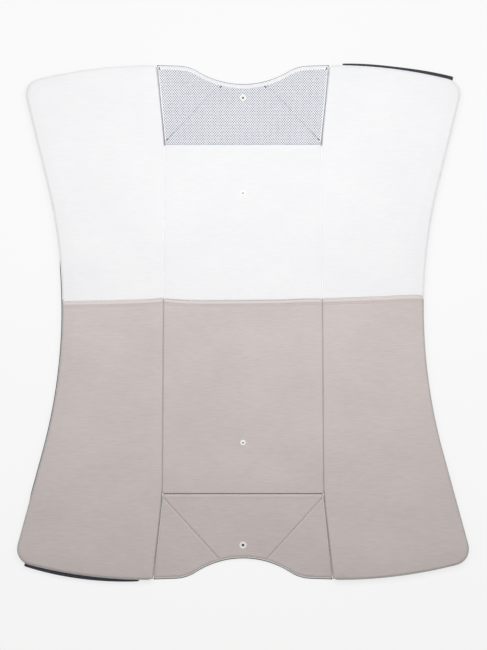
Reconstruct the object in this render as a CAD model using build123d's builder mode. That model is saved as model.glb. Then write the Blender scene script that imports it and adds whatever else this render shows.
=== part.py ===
from build123d import *
import os
from math import acos, asin, atan, atan2, cos, degrees, hypot, radians, sin, tan

# A fold-up changing pad: a long foam centre, a foam wing sewn along each side of it, and a thin
# flap at each end that folds over onto the centre and snaps to it. Millimetres. +X is to the
# right of someone standing at the foot, +Y is towards the head end, +Z is up, and the origin is
# the middle of the underside.

# ---- Plan of the pad ----------------------------------------------------------------------
centre_width = 223.0  # from one fold seam to the other
centre_length = 493.0  # from the fold of one flap to the fold of the other
wing_width = 141.5  # from the fold seam to the waist of the outer edge
waist_radius = 760.0  # hollow curve of the long outer edge
side_taper = 14.4  # degrees, lean of the straight part beyond the hollow curve
end_reach = 116.5  # how far a wing runs on beyond the fold of the flap
end_drop = 26.0  # outer corner set back from the inner one
end_bow = 7.0  # outward bow of a wing's end edge
corner_radius = 22.0
inner_corner_radius = 5.0
slit_bend_radius = 100.0  # where the slit leans away from the fold seam
slit_flare = 12.5  # how far the slit beside a flap leans outward over its length
fold_gap = 1.2  # between two padded panels at a fold seam
slit_width = 1.6
fold_seam_drop = 1.0  # top of the sewn edges in a fold, below the top of the pad
fold_seam_depth = 5.0
fold_seam_clearance = 0.062  # between the sewn edges and the lower corner of a drooping flap

# ---- Layers of the padded panels ------------------------------------------------------------
foam_thickness = 12.0
back_thickness = 0.8  # woven cloth of the underside and the side walls
cover_thickness = 1.2  # knitted plush of the top
edge_round = 2.5
cover_wall = 0.5  # straight side of the top cover, above the piping
piping_diameter = 2.0
piping_proud = 0.8  # how far the piping stands out of the side wall
colour_seam_y = 25.0  # the white half ends and the taupe half starts here
felled_width = 5.0  # turned-over edge of the taupe half
felled_height = 0.6
felled_rounding = 0.8  # share of that height

# ---- Flaps ----------------------------------------------------------------------------------
flap_length = 117.0  # along the flap, from the fold to its corners
flap_top = 2.2  # mesh or plush layer
flap_back = 1.2
flap_clearance = 0.6  # between a folded flap and the centre
scoop_half = 95.0  # half width of the hollow in the end edge
scoop_depth = 28.0
scoop_radius = 120.0  # round bottom of that hollow
scoop_lead = 1.0  # slope of the edge between the corner and the hollow
diagonal_half = 32.0  # where the two diagonal seams reach the end edge
diagonal_root = 4.0  # where they start on the sides, beyond the fold
diagonal_overrun = 1.2  # stretch of a diagonal line that surely leaves the flap
binding_width = 2.2

# ---- Ring snaps -----------------------------------------------------------------------------
snap_reach = 70.5  # from a fold to its two snap halves
stud_diameter = 7.5
post_diameter = 3.2
post_bore = 2.0
post_height = 1.2
socket_diameter = 9.9
snap_fit = 0.3  # between the post and the bore of the socket, all round
ring_thickness = 0.6  # rim of either half, let into the cloth
socket_proud = 0.3
neck_wall = 0.8
cap_thickness = 0.7
cap_diameter = 9.5

# ---- Zip in the end wall of each wing ---------------------------------------------------------
zip_inner_x = 143.0
zip_outer_x = 300.0
zip_height = 4.6  # middle of the coil above the underside
coil_height = 2.4
coil_proud = 1.2
tape_height = 2.1
tape_thickness = 0.6
stop_length = 1.6
slide_fit = 0.3
slider_length = 6.0
slider_plate = 0.8
lip_height = 0.5
bail_reach = 1.1  # from the slider's plate to the middle of its bar
bar_diameter = 0.7
eye_bore = 1.2
eye_wall = 0.4
puller_width = 2.0
puller_thickness = 0.5
puller_length = 8.0
tab_rounding = 0.45  # share of the puller's width
zip_cover_thickness = 0.8
zip_cover_inner = 2.3  # how far the strip over the zip stands out at its two ends
zip_cover_outer = 4.8

# ---- Worked out -------------------------------------------------------------------------------
seam_x = centre_width / 2
fold_y = centre_length / 2
end_y = fold_y + end_reach
end_x = seam_x + slit_flare
waist_x = seam_x + wing_width
half_gap = fold_gap / 2
half_slit = slit_width / 2

pad_height = back_thickness + foam_thickness + cover_thickness
foam_top = back_thickness + foam_thickness
piping_top = pad_height - edge_round - cover_wall
piping_bottom = piping_top - piping_diameter
wall_inset = piping_proud + back_thickness

flap_thickness = flap_top + flap_back
flap_face_z = -flap_clearance / 2  # upper side of a flap, under its pivot
flap_pivot_z = pad_height + flap_clearance / 2
flap_under = flap_thickness - flap_face_z
droop = asin(flap_pivot_z / hypot(flap_length, flap_under)) - atan2(flap_under, flap_length)

web_top = pad_height - fold_seam_drop
web_thickness = fold_gap * 2 / 3
web_outside = web_thickness - half_gap
flap_root = (web_outside + fold_seam_clearance + flap_under * sin(droop)) / cos(droop)

# End edge of a wing: an arc through its inner corner and its outer one before rounding.
inner_end = Vector(end_x + half_slit - piping_proud, end_y)
taper_start = Vector(
    waist_x + waist_radius * (1 - cos(radians(side_taper))),
    waist_radius * sin(radians(side_taper)),
)
outer_end = Vector(
    taper_start.X + (end_y - end_drop - taper_start.Y) * tan(radians(side_taper)),
    end_y - end_drop,
)
end_chord = outer_end - inner_end
end_out = Vector(-end_chord.Y, end_chord.X).normalized()
end_radius = (end_chord.length**2 / 4 + end_bow**2) / (2 * end_bow)
end_crest = (inner_end + outer_end) * 0.5 + end_out * end_bow
end_centre = end_crest - end_out * end_radius

tape_radius = end_radius - piping_proud + tape_thickness
zip_outer_angle = degrees(acos((zip_outer_x - end_centre.X) / end_radius))
zip_inner_angle = degrees(acos((zip_inner_x - end_centre.X) / end_radius))
mm_as_degrees = degrees(1 / tape_radius)
slider_angle = zip_outer_angle + (stop_length + slide_fit + slider_length / 2) * mm_as_degrees
coil_bottom = zip_height - coil_height / 2
coil_top = zip_height + coil_height / 2

os.makedirs("parts", exist_ok=True)


def write(part, name):
    """Label a finished piece and write it as its own file."""
    part.label = name
    export_step(part, f"parts/{name}.step")


# ---- Padded panels ----------------------------------------------------------------------------


def wing_plan(side, inset):
    """Plan of a wing, pulled in by inset; side is 1 on the right and -1 on the left."""
    hinge_x = seam_x + half_gap - piping_proud
    with BuildSketch(mode=Mode.PRIVATE) as plan:
        with BuildLine():
            Polyline(
                (inner_end.X, -inner_end.Y),
                (hinge_x, -fold_y),
                (hinge_x, fold_y),
                (inner_end.X, inner_end.Y),
            )
            ThreePointArc(inner_end, end_crest, outer_end)
            Line(outer_end, taper_start)
            ThreePointArc(taper_start, (waist_x, 0), (taper_start.X, -taper_start.Y))
            Line((taper_start.X, -taper_start.Y), (outer_end.X, -outer_end.Y))
            ThreePointArc(
                (outer_end.X, -outer_end.Y), (end_crest.X, -end_crest.Y), (inner_end.X, -inner_end.Y)
            )
        make_face()
        fillet(plan.vertices().group_by(Axis.X)[-1], corner_radius)
        fillet(plan.vertices().group_by(Axis.X)[0], slit_bend_radius)
        fillet(plan.vertices().group_by(Axis.Y)[-1], inner_corner_radius)
        fillet(plan.vertices().group_by(Axis.Y)[0], inner_corner_radius)
        if inset > 0:
            offset(amount=-inset, kind=Kind.INTERSECTION, mode=Mode.REPLACE)
        if side < 0:
            mirror(about=Plane.YZ, mode=Mode.REPLACE)
    return plan.sketch


def centre_plan(inset):
    """Plan of the long middle panel, pulled in by inset."""
    with BuildSketch(mode=Mode.PRIVATE) as plan:
        Rectangle(centre_width - fold_gap - 2 * inset, centre_length - fold_gap - 2 * inset)
    return plan.sketch


def foam_block(plan):
    """Cut foam with its upper edges rounded, lying on the cloth of the underside."""
    with BuildPart() as foam:
        with BuildSketch(Plane.XY.offset(back_thickness)):
            add(plan)
        extrude(amount=foam_thickness)
        fillet(foam.edges().group_by(Axis.Z)[-1], edge_round - cover_thickness / 2)
    return foam.part


def back_tray(plan, foam):
    """Cloth of the underside, turned up round the foam as far as the piping."""
    with BuildPart() as back:
        with BuildSketch():
            add(plan)
        extrude(amount=piping_bottom)
        add(foam, mode=Mode.SUBTRACT)
    return back.part


def top_cover(plan, foam, piping, half):
    """Plush top of a panel, turned down round the foam; half is 1 for white, -1 for taupe."""
    colour_seam = Plane(origin=(0, colour_seam_y, 0), z_dir=(0, 1, 0))
    with BuildPart() as cover:
        with BuildSketch(Plane.XY.offset(piping_bottom)):
            add(plan)
        extrude(amount=pad_height - piping_bottom)
        fillet(cover.edges().group_by(Axis.Z)[-1], edge_round)
        add(foam, mode=Mode.SUBTRACT)
        if piping:
            add(piping, mode=Mode.SUBTRACT)
        split(bisect_by=colour_seam, keep=Keep.TOP if half > 0 else Keep.BOTTOM)
    return cover.part


def felled_edge(centre_x, width):
    """Turned-over and stitched edge of the taupe cloth along the colour seam."""
    middle_y = colour_seam_y - felled_width / 2
    with BuildPart() as edge:
        with BuildSketch(Plane.XY.offset(pad_height)):
            with Locations((centre_x, middle_y)):
                Rectangle(width, felled_width)
        extrude(amount=felled_height)
        fillet(edge.edges().group_by(Axis.Z)[-1].filter_by(Axis.X), felled_height * felled_rounding)
    return edge.part


def stud_place(end):
    """Where a stud stands on the centre; end is 1 at the head and -1 at the foot."""
    return (0, end * (fold_y - snap_reach))


# Centre panel: foam with a pocket under each stud, the underside and the two halves of the top.
centre_block = foam_block(centre_plan(back_thickness))
with BuildPart() as centre_foam:
    add(centre_block)
    with BuildSketch(Plane.XY.offset(foam_top)):
        with Locations(stud_place(1), stud_place(-1)):
            Circle(cap_diameter / 2)
    extrude(amount=-cap_thickness, mode=Mode.SUBTRACT)
write(centre_foam.part, "centre_foam")
write(back_tray(centre_plan(0), centre_block), "centre_back")

for end, colour in ((1, "white"), (-1, "taupe")):
    with BuildPart() as centre_cover:
        add(top_cover(centre_plan(0), centre_block, None, end))
        if end < 0:
            add(felled_edge(0, centre_width - fold_gap - 2 * edge_round))
        with BuildSketch(Plane.XY.offset(pad_height)):
            with Locations(stud_place(end)):
                Circle(stud_diameter / 2)
        extrude(amount=-ring_thickness, mode=Mode.SUBTRACT)
        with BuildSketch(Plane.XY.offset(pad_height)):
            with Locations(stud_place(end)):
                Circle(post_diameter / 2 + neck_wall)
        extrude(amount=-cover_thickness, mode=Mode.SUBTRACT)
    write(centre_cover.part, f"centre_cover_{colour}")

# Studs: a rim let into the plush with a hollow post standing on it, and a disc under the cloth.
for end, name in ((1, "head"), (-1, "foot")):
    with BuildPart() as stud:
        with BuildSketch(Plane.XY.offset(pad_height)):
            with Locations(stud_place(end)):
                Circle(stud_diameter / 2)
        extrude(amount=-ring_thickness)
        with BuildSketch(Plane.XY.offset(foam_top)):
            with Locations(stud_place(end)):
                Circle(post_diameter / 2 + neck_wall)
        extrude(amount=cover_thickness - ring_thickness)
        with BuildSketch(Plane.XY.offset(pad_height)):
            with Locations(stud_place(end)):
                Circle(post_diameter / 2)
        extrude(amount=post_height)
        with BuildSketch(Plane.XY.offset(foam_top)):
            with Locations(stud_place(end)):
                Circle(post_bore / 2)
        extrude(amount=cover_thickness + post_height, mode=Mode.SUBTRACT)
    write(stud.part, f"{name}_stud")

    with BuildPart() as stud_disc:
        with BuildSketch(Plane.XY.offset(foam_top)):
            with Locations(stud_place(end)):
                Circle(cap_diameter / 2)
        extrude(amount=-cap_thickness)
    write(stud_disc.part, f"{name}_stud_disc")

# Fold seams: the sewn-together edges of the cloth, standing in the gaps round the centre.
for side, name in ((1, "right"), (-1, "left")):
    with BuildPart() as side_web:
        with BuildSketch(Plane.XY.offset(web_top)):
            with Locations((side * (seam_x - half_gap + web_thickness / 2), 0)):
                Rectangle(web_thickness, centre_length - fold_gap)
        extrude(amount=-fold_seam_depth)
    write(side_web.part, f"{name}_fold_seam")
for end, name in ((1, "head"), (-1, "foot")):
    with BuildPart() as end_web:
        with BuildSketch(Plane.XY.offset(web_top)):
            with Locations((0, end * (fold_y - half_gap + web_thickness / 2))):
                Rectangle(centre_width - fold_gap, web_thickness)
        extrude(amount=-fold_seam_depth)
    write(end_web.part, f"{name}_fold_seam")


def wing_piping(side):
    """Piping round the free edges of a wing, where the top cover meets the side wall."""
    clear = 2 * wall_inset
    beyond = end_y + corner_radius
    lean = (inner_end.X - seam_x) / end_reach
    with BuildPart() as piping:
        with BuildSketch(Plane.XY.offset(piping_bottom)):
            add(wing_plan(side, 0))
            add(wing_plan(side, wall_inset), mode=Mode.SUBTRACT)
            with BuildLine():
                Polyline(
                    (0, -beyond),
                    (0, beyond),
                    (side * (seam_x + clear + lean * (beyond - fold_y)), beyond),
                    (side * (seam_x + clear), fold_y),
                    (side * (seam_x + clear), -fold_y),
                    (side * (seam_x + clear + lean * (beyond - fold_y)), -beyond),
                    close=True,
                )
            make_face(mode=Mode.SUBTRACT)
        extrude(amount=piping_diameter)
    return piping.part


# ---- Zip, laid out on the arc of a wing's end -----------------------------------------------


def zip_centre(side):
    """Centre of the arc that the zip runs on: head end of the right wing, foot end of the left."""
    return (side * end_centre.X, side * end_centre.Y)


def zip_band(side, inside, outside, start, finish):
    """Slice of a ring round the zip's centre between two radii and two angles."""
    turn = 0 if side > 0 else 180
    with BuildSketch(mode=Mode.PRIVATE) as band:
        with BuildLine():
            outer_line = CenterArc(zip_centre(side), outside, start + turn, finish - start)
            inner_line = CenterArc(zip_centre(side), inside, start + turn, finish - start)
            Line(outer_line @ 0, inner_line @ 0)
            Line(outer_line @ 1, inner_line @ 1)
        make_face()
    return band.sketch


def zip_plane(side, angle, height):
    """Plane on the face of the tape: x points out of the wing, y along the zip to its inner end."""
    turn = radians(angle if side > 0 else angle + 180)
    centre = zip_centre(side)
    outward = (cos(turn), sin(turn), 0)
    place = (centre[0] + tape_radius * outward[0], centre[1] + tape_radius * outward[1], height)
    return Plane(origin=place, x_dir=outward, z_dir=(0, 0, 1))


def zip_strip(side, inside, outside, bottom, top, start, finish):
    """Band of the zip with a plain rectangular section."""
    with BuildPart() as strip:
        with BuildSketch(Plane.XY.offset(bottom)):
            add(zip_band(side, inside, outside, start, finish))
        extrude(amount=top - bottom)
    return strip.part


def zip_cover(side):
    """Navy strip sewn over the zip, wider towards the corner of the wing."""
    turn = radians(0 if side > 0 else 180)
    centre = zip_centre(side)

    def at(radius, angle):
        place = radians(angle) + turn
        return (centre[0] + radius * cos(place), centre[1] + radius * sin(place))

    seat = end_radius - piping_proud
    middle = (zip_inner_angle + zip_outer_angle) / 2
    crest = end_radius + zip_cover_outer - (zip_cover_outer - zip_cover_inner) / 4
    with BuildPart() as cover:
        with BuildSketch(Plane.XY.offset(piping_bottom - zip_cover_thickness)):
            with BuildLine():
                ThreePointArc(at(seat, zip_outer_angle), at(seat, middle), at(seat, zip_inner_angle))
                Line(at(seat, zip_inner_angle), at(end_radius + zip_cover_inner, zip_inner_angle))
                ThreePointArc(
                    at(end_radius + zip_cover_inner, zip_inner_angle),
                    at(crest, middle),
                    at(end_radius + zip_cover_outer, zip_outer_angle),
                )
                Line(at(end_radius + zip_cover_outer, zip_outer_angle), at(seat, zip_outer_angle))
            make_face()
        extrude(amount=zip_cover_thickness)
    return cover.part


def zip_slider(side):
    """Slider: a channel over the coil with a small bail for the puller."""
    inside = slide_fit
    plate = coil_proud + slide_fit
    outside = plate + slider_plate
    half_channel = coil_height / 2 + slide_fit
    half_body = half_channel + lip_height
    bar_x = outside + bail_reach
    post_in = puller_width / 2 + slide_fit
    with BuildPart() as slider:
        with BuildSketch(zip_plane(side, slider_angle, zip_height - half_body)):
            with Locations(((inside + outside) / 2, 0)):
                Rectangle(outside - inside, slider_length)
        extrude(amount=2 * half_body)
        with BuildSketch(zip_plane(side, slider_angle, zip_height - half_channel)):
            with Locations(((inside + plate) / 2, 0)):
                Rectangle(plate - inside, slider_length)
        extrude(amount=2 * half_channel, mode=Mode.SUBTRACT)
        for level in (zip_height - half_body, zip_height + post_in):
            with BuildSketch(zip_plane(side, slider_angle, level)):
                with Locations(((outside + bar_x) / 2, 0)):
                    Rectangle(bar_x - outside, bar_diameter)
                with Locations((bar_x, 0)):
                    Circle(bar_diameter / 2)
            extrude(amount=half_body - post_in)
        with BuildSketch(zip_plane(side, slider_angle, zip_height - half_body)):
            with Locations((bar_x, 0)):
                Circle(bar_diameter / 2)
        extrude(amount=2 * half_body)
    return slider.part


def zip_puller(side):
    """Puller: an eye round the slider's bar and a flat rounded tab lying along the zip."""
    bar_x = coil_proud + slide_fit + slider_plate + bail_reach
    level = zip_plane(side, slider_angle, zip_height - puller_width / 2)
    along = level.y_dir
    outward = level.x_dir
    eye_outer = eye_bore / 2 + eye_wall
    tab_start = level.from_local_coords((bar_x - puller_thickness / 2, eye_bore / 2 + eye_wall / 2))
    tab_reach = puller_length - eye_bore / 2 - eye_wall / 2
    tab_plane = Plane(
        origin=tab_start + Vector(0, 0, puller_width / 2), x_dir=along, z_dir=outward
    )
    with BuildPart() as puller:
        with BuildSketch(tab_plane) as tab:
            with Locations((tab_reach / 2, 0)):
                Rectangle(tab_reach, puller_width)
            fillet(tab.vertices().group_by(Axis.X)[-1], puller_width * tab_rounding)
        extrude(amount=puller_thickness)
        with BuildSketch(level):
            with Locations((bar_x, 0)):
                Circle(eye_outer)
        extrude(amount=puller_width)
        with BuildSketch(level):
            with Locations((bar_x, 0)):
                Circle(eye_bore / 2)
        extrude(amount=puller_width, mode=Mode.SUBTRACT)
    return puller.part


# ---- Wings ------------------------------------------------------------------------------------
tape_seat = end_radius - piping_proud
coil_radius = tape_radius + coil_proud
coil_start = zip_outer_angle + stop_length * mm_as_degrees
coil_finish = zip_inner_angle - stop_length * mm_as_degrees
for side, name in ((1, "right_wing"), (-1, "left_wing")):
    wing_foam = foam_block(wing_plan(side, wall_inset))
    piping = wing_piping(side)
    write(wing_foam, f"{name}_foam")
    write(piping, f"{name}_piping")

    # Underside and walls, with the opening behind the zip that the foam goes in through.
    with BuildPart() as wing_back:
        add(back_tray(wing_plan(side, piping_proud), wing_foam))
        with BuildSketch(Plane.XY.offset(coil_bottom)):
            add(zip_band(side, tape_seat - wall_inset, tape_seat + 1, coil_start, coil_finish))
        extrude(amount=coil_height, mode=Mode.SUBTRACT)
        add(wing_foam, mode=Mode.SUBTRACT)
    write(wing_back.part, f"{name}_back")

    felled_start = seam_x + half_gap + edge_round
    felled_finish = waist_x - piping_proud - edge_round
    write(top_cover(wing_plan(side, piping_proud), wing_foam, piping, 1), f"{name}_cover_white")
    with BuildPart() as taupe_cover:
        add(top_cover(wing_plan(side, piping_proud), wing_foam, piping, -1))
        add(felled_edge(side * (felled_start + felled_finish) / 2, felled_finish - felled_start))
    write(taupe_cover.part, f"{name}_cover_taupe")

    write(zip_cover(side), f"{name}_zip_cover")
    write(
        zip_strip(
            side, tape_seat, tape_radius, coil_top, coil_top + tape_height, zip_outer_angle, zip_inner_angle
        ),
        f"{name}_zip_tape_upper",
    )
    write(
        zip_strip(
            side,
            tape_seat,
            tape_radius,
            coil_bottom - tape_height,
            coil_bottom,
            zip_outer_angle,
            zip_inner_angle,
        ),
        f"{name}_zip_tape_lower",
    )
    write(
        zip_strip(side, tape_seat, coil_radius, coil_bottom, coil_top, coil_start, coil_finish),
        f"{name}_zip_coil",
    )
    with BuildPart() as stops:
        for start, finish in ((zip_outer_angle, coil_start), (coil_finish, zip_inner_angle)):
            add(zip_strip(side, tape_seat, coil_radius + slide_fit, coil_bottom, coil_top, start, finish))
    write(stops.part, f"{name}_zip_stops")
    write(zip_slider(side), f"{name}_zip_slider")
    write(zip_puller(side), f"{name}_zip_puller")


# ---- Flaps ------------------------------------------------------------------------------------


def flap_plane(end, height):
    """Plane of a flap: y runs out along it from the fold, x is across it, z is its upper side."""
    place = Plane(
        origin=(0, end * fold_y, flap_pivot_z),
        x_dir=(end, 0, 0),
        z_dir=(0, end * sin(droop), cos(droop)),
    )
    return place.offset(height)


root_half = seam_x - half_slit
tip_half = end_x - half_slit
scoop_turn = 2 * atan(scoop_depth / scoop_half)
shoulder_radius = scoop_half / sin(scoop_turn) - scoop_radius


def flap_plan(trim):
    """Plan of a flap with its hollow end edge, cut back by trim along the flap."""
    tip = flap_length - trim
    tip_x = root_half + (tip_half - root_half) * (tip - flap_root) / (flap_length - flap_root)
    lead = tip - scoop_lead
    bottom = lead - scoop_depth
    turn_x = scoop_radius * sin(scoop_turn)
    turn_y = bottom + scoop_radius * (1 - cos(scoop_turn))
    shoulder_x = scoop_half - shoulder_radius * sin(scoop_turn / 2)
    shoulder_y = lead - shoulder_radius * (1 - cos(scoop_turn / 2))
    with BuildSketch(mode=Mode.PRIVATE) as plan:
        with BuildLine():
            Polyline(
                (-scoop_half, lead),
                (-tip_x, tip),
                (-root_half, flap_root),
                (root_half, flap_root),
                (tip_x, tip),
                (scoop_half, lead),
            )
            ThreePointArc((scoop_half, lead), (shoulder_x, shoulder_y), (turn_x, turn_y))
            ThreePointArc((turn_x, turn_y), (0, bottom), (-turn_x, turn_y))
            ThreePointArc((-turn_x, turn_y), (-shoulder_x, shoulder_y), (-scoop_half, lead))
        make_face()
    return plan.sketch


def middle_piece():
    """Area of the middle piece of a flap, between its diagonal seams and past its edges."""
    scoop_bottom = flap_length - scoop_lead - scoop_depth
    start = Vector(root_half, flap_root + diagonal_root)
    reach = Vector(diagonal_half, scoop_bottom) - start
    finish = start + reach * diagonal_overrun
    beyond = root_half + slit_flare
    with BuildSketch(mode=Mode.PRIVATE) as area:
        with BuildLine():
            Polyline(
                (-beyond, 0),
                (beyond, 0),
                (beyond, start.Y),
                (start.X, start.Y),
                (finish.X, finish.Y),
                (-finish.X, finish.Y),
                (-start.X, start.Y),
                (-beyond, start.Y),
                close=True,
            )
        make_face()
    return area.sketch


def snap_circle(diameter):
    """Round outline about the snap of a flap."""
    with BuildSketch(mode=Mode.PRIVATE) as outline:
        with Locations((0, snap_reach)):
            Circle(diameter / 2)
    return outline.sketch


socket_bore = post_diameter + 2 * snap_fit
neck_diameter = socket_bore + 2 * neck_wall
flap_middle_z = flap_face_z - flap_top
flap_bottom_z = flap_face_z - flap_thickness
for end, name, cloth in ((1, "head_flap", "mesh"), (-1, "foot_flap", "panel")):
    # Upper layer, in three pieces joined by the diagonal seams.
    with BuildPart() as middle:
        with BuildSketch(flap_plane(end, flap_middle_z)):
            add(flap_plan(binding_width))
            add(middle_piece(), mode=Mode.INTERSECT)
            add(snap_circle(neck_diameter), mode=Mode.SUBTRACT)
        extrude(amount=flap_top)
        with BuildSketch(flap_plane(end, flap_face_z)):
            add(snap_circle(socket_diameter))
        extrude(amount=-ring_thickness, mode=Mode.SUBTRACT)
    write(middle.part, f"{name}_{cloth}_middle")

    for half, half_name in ((1, "right"), (-1, "left")):
        with BuildPart() as corner:
            with BuildSketch(flap_plane(end, flap_middle_z)):
                add(flap_plan(binding_width))
                add(middle_piece(), mode=Mode.SUBTRACT)
                with Locations((half * end * flap_length, flap_length / 2)):
                    Rectangle(2 * flap_length, 2 * flap_length, mode=Mode.INTERSECT)
            extrude(amount=flap_top)
        write(corner.part, f"{name}_{cloth}_{half_name}")

    with BuildPart() as flap_back_piece:
        with BuildSketch(flap_plane(end, flap_bottom_z)):
            add(flap_plan(binding_width))
            add(snap_circle(neck_diameter), mode=Mode.SUBTRACT)
        extrude(amount=flap_back)
    write(flap_back_piece.part, f"{name}_back")

    with BuildPart() as binding:
        with BuildSketch(flap_plane(end, flap_bottom_z)):
            add(flap_plan(0))
            add(flap_plan(binding_width), mode=Mode.SUBTRACT)
        extrude(amount=flap_thickness)
    write(binding.part, f"{name}_binding")

    # Socket of the ring snap: a rim let into the face, a neck through the flap, and a cap behind.
    with BuildPart() as socket:
        with BuildSketch(flap_plane(end, flap_face_z - ring_thickness)):
            add(snap_circle(socket_diameter))
            add(snap_circle(socket_bore), mode=Mode.SUBTRACT)
        extrude(amount=ring_thickness + socket_proud)
        with BuildSketch(flap_plane(end, flap_bottom_z)):
            add(snap_circle(neck_diameter))
            add(snap_circle(socket_bore), mode=Mode.SUBTRACT)
        extrude(amount=flap_thickness - ring_thickness)
    write(socket.part, f"{name}_socket")

    with BuildPart() as cap:
        with BuildSketch(flap_plane(end, flap_bottom_z)):
            add(snap_circle(cap_diameter))
        extrude(amount=-cap_thickness)
    write(cap.part, f"{name}_socket_cap")

# Bar tacks of dark thread at the ends of the head flap's seams.
tack_length = 3.0
tack_width = 1.2
tack_height = 0.3
tack_inset = 3.0
scoop_floor = flap_length - scoop_lead - scoop_depth
tack_places = [
    (root_half - tack_inset, flap_root + diagonal_root + tack_inset),
    (diagonal_half, scoop_floor - tack_inset),
    (tip_half - tack_inset, flap_length - binding_width - tack_inset),
]
with BuildPart() as tacks:
    with BuildSketch(flap_plane(1, flap_face_z)):
        for place_x, place_y in tack_places:
            with Locations((place_x, place_y), (-place_x, place_y)):
                Rectangle(tack_width, tack_length)
    extrude(amount=tack_height)
write(tacks.part, "head_flap_bar_tacks")
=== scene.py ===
import math

import bmesh
import bpy
import numpy as np
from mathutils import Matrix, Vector


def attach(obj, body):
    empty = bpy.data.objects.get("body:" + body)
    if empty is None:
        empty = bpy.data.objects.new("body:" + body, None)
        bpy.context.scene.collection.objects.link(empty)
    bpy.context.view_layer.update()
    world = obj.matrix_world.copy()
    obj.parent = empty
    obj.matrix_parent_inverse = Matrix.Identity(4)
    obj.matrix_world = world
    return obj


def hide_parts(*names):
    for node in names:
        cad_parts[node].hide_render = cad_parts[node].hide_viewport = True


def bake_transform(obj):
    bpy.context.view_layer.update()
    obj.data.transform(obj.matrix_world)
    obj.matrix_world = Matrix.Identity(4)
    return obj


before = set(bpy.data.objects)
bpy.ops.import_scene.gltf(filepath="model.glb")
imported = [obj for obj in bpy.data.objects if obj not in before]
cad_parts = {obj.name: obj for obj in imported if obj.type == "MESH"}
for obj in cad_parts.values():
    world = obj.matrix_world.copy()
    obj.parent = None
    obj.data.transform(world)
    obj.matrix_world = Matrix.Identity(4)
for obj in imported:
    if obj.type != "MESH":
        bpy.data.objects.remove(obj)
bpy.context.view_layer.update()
mm = 0.001

# ---- Camera ------------------------------------------------------------------------------------
# The pad lies on a pale floor and is seen from straight above, a little from the foot end.
stand_off = 2.0
lean = math.radians(6.9)
aim = Vector((0.0007, -0.0102, 0.0))
lens_mm = 78.6
camera = bpy.data.objects.new("camera", bpy.data.cameras.new("camera"))
bpy.context.collection.objects.link(camera)
camera.location = aim + stand_off * Vector((0, -math.sin(lean), math.cos(lean)))
camera.rotation_euler = (lean, 0, 0)
camera.data.lens = lens_mm
camera.data.clip_start = 0.05
bpy.context.scene.camera = camera

# ---- Floor and light -----------------------------------------------------------------------------
# A plain pale studio floor, two large soft lights above the head half, and pale light all round.
floor_reach = 6.0
floor_drop = 0.0002
floor_glow = 0.775  # keeps the floor as pale as a lit backdrop
sky_strength = 0.312


def new_piece(name, points, faces, materials, zones=None):
    """Mesh object from points in metres, smooth shaded."""
    mesh = bpy.data.meshes.new(name)
    mesh.from_pydata([tuple(p) for p in points], [], [tuple(int(i) for i in f) for f in faces])
    for material in materials:
        mesh.materials.append(material)
    if zones is not None:
        mesh.polygons.foreach_set("material_index", np.asarray(zones, np.int32))
    mesh.polygons.foreach_set("use_smooth", np.ones(len(mesh.polygons), bool))
    mesh.update()
    piece = bpy.data.objects.new(name, mesh)
    bpy.context.collection.objects.link(piece)
    return piece


def plain_material(name, colour, roughness, **sockets):
    """Material with a Principled shader whose even values stand on its own sockets."""
    material = bpy.data.materials.new(name)
    material.use_nodes = True
    shader = material.node_tree.nodes["Principled BSDF"]
    shader.inputs["Base Color"].default_value = (*colour, 1)
    shader.inputs["Roughness"].default_value = roughness
    for socket, value in sockets.items():
        shader.inputs[socket.replace("_", " ")].default_value = value
    return material


floor_paint = plain_material("floor_paint", (0.17, 0.17, 0.17), 0.9, Emission_Strength=floor_glow)
floor_paint.node_tree.nodes["Principled BSDF"].inputs["Emission Color"].default_value = (1, 1, 1, 1)
floor = new_piece(
    "floor",
    [
        (x * floor_reach, y * floor_reach, -floor_drop)
        for x, y in ((-1, -1), (1, -1), (1, 1), (-1, 1))
    ],
    [(0, 1, 2, 3)],
    [floor_paint],
)


def soft_light(name, place, size, power):
    """Square area light that faces straight down."""
    data = bpy.data.lights.new(name, "AREA")
    data.size = size
    data.energy = power
    light = bpy.data.objects.new(name, data)
    bpy.context.collection.objects.link(light)
    light.location = place
    light.visible_camera = False
    return light


soft_light("left_light", (-0.33, 0.28, 1.05), 0.7, 5.2)
soft_light("right_light", (0.36, 0.28, 1.05), 0.7, 5.45)
world = bpy.data.worlds.new("studio")
bpy.context.scene.world = world
world.use_nodes = True
sky = world.node_tree.nodes["Background"].inputs
sky["Color"].default_value = (1.0, 1.0, 1.0, 1)
sky["Strength"].default_value = sky_strength
bpy.context.scene.view_settings.view_transform = "Standard"

# ---- Cloths --------------------------------------------------------------------------------------
# Brushed knit in white and taupe on the top, plain navy weave below, and the small trims. The
# shared groups give the knit's fine courses, the crossing yarns of a weave and loose fibre.


def new_tree(name, kind, inputs, outputs):
    """Node tree with named sockets; returns it, what it is given and what it hands out."""
    tree = bpy.data.node_groups.new(name, kind)
    for way, sockets in (("INPUT", inputs), ("OUTPUT", outputs)):
        for label, socket in sockets.items():
            tree.interface.new_socket(name=label, in_out=way, socket_type=f"NodeSocket{socket}")
    return tree, tree.nodes.new("NodeGroupInput").outputs, tree.nodes.new("NodeGroupOutput").inputs


def add_node(tree, kind, inputs=None, **settings):
    """New node with settings; its inputs are set to values or linked to other nodes' sockets."""
    node = tree.nodes.new(kind)
    for setting, value in settings.items():
        setattr(node, setting, value)
    for socket, value in (inputs or {}).items():
        if isinstance(value, bpy.types.NodeSocket):
            tree.links.new(value, node.inputs[socket])
        else:
            node.inputs[socket].default_value = value
    return node


def made_by(tree, kind, inputs=None, **settings):
    """First output of a new node."""
    return add_node(tree, kind, inputs, **settings).outputs[0]


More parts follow.
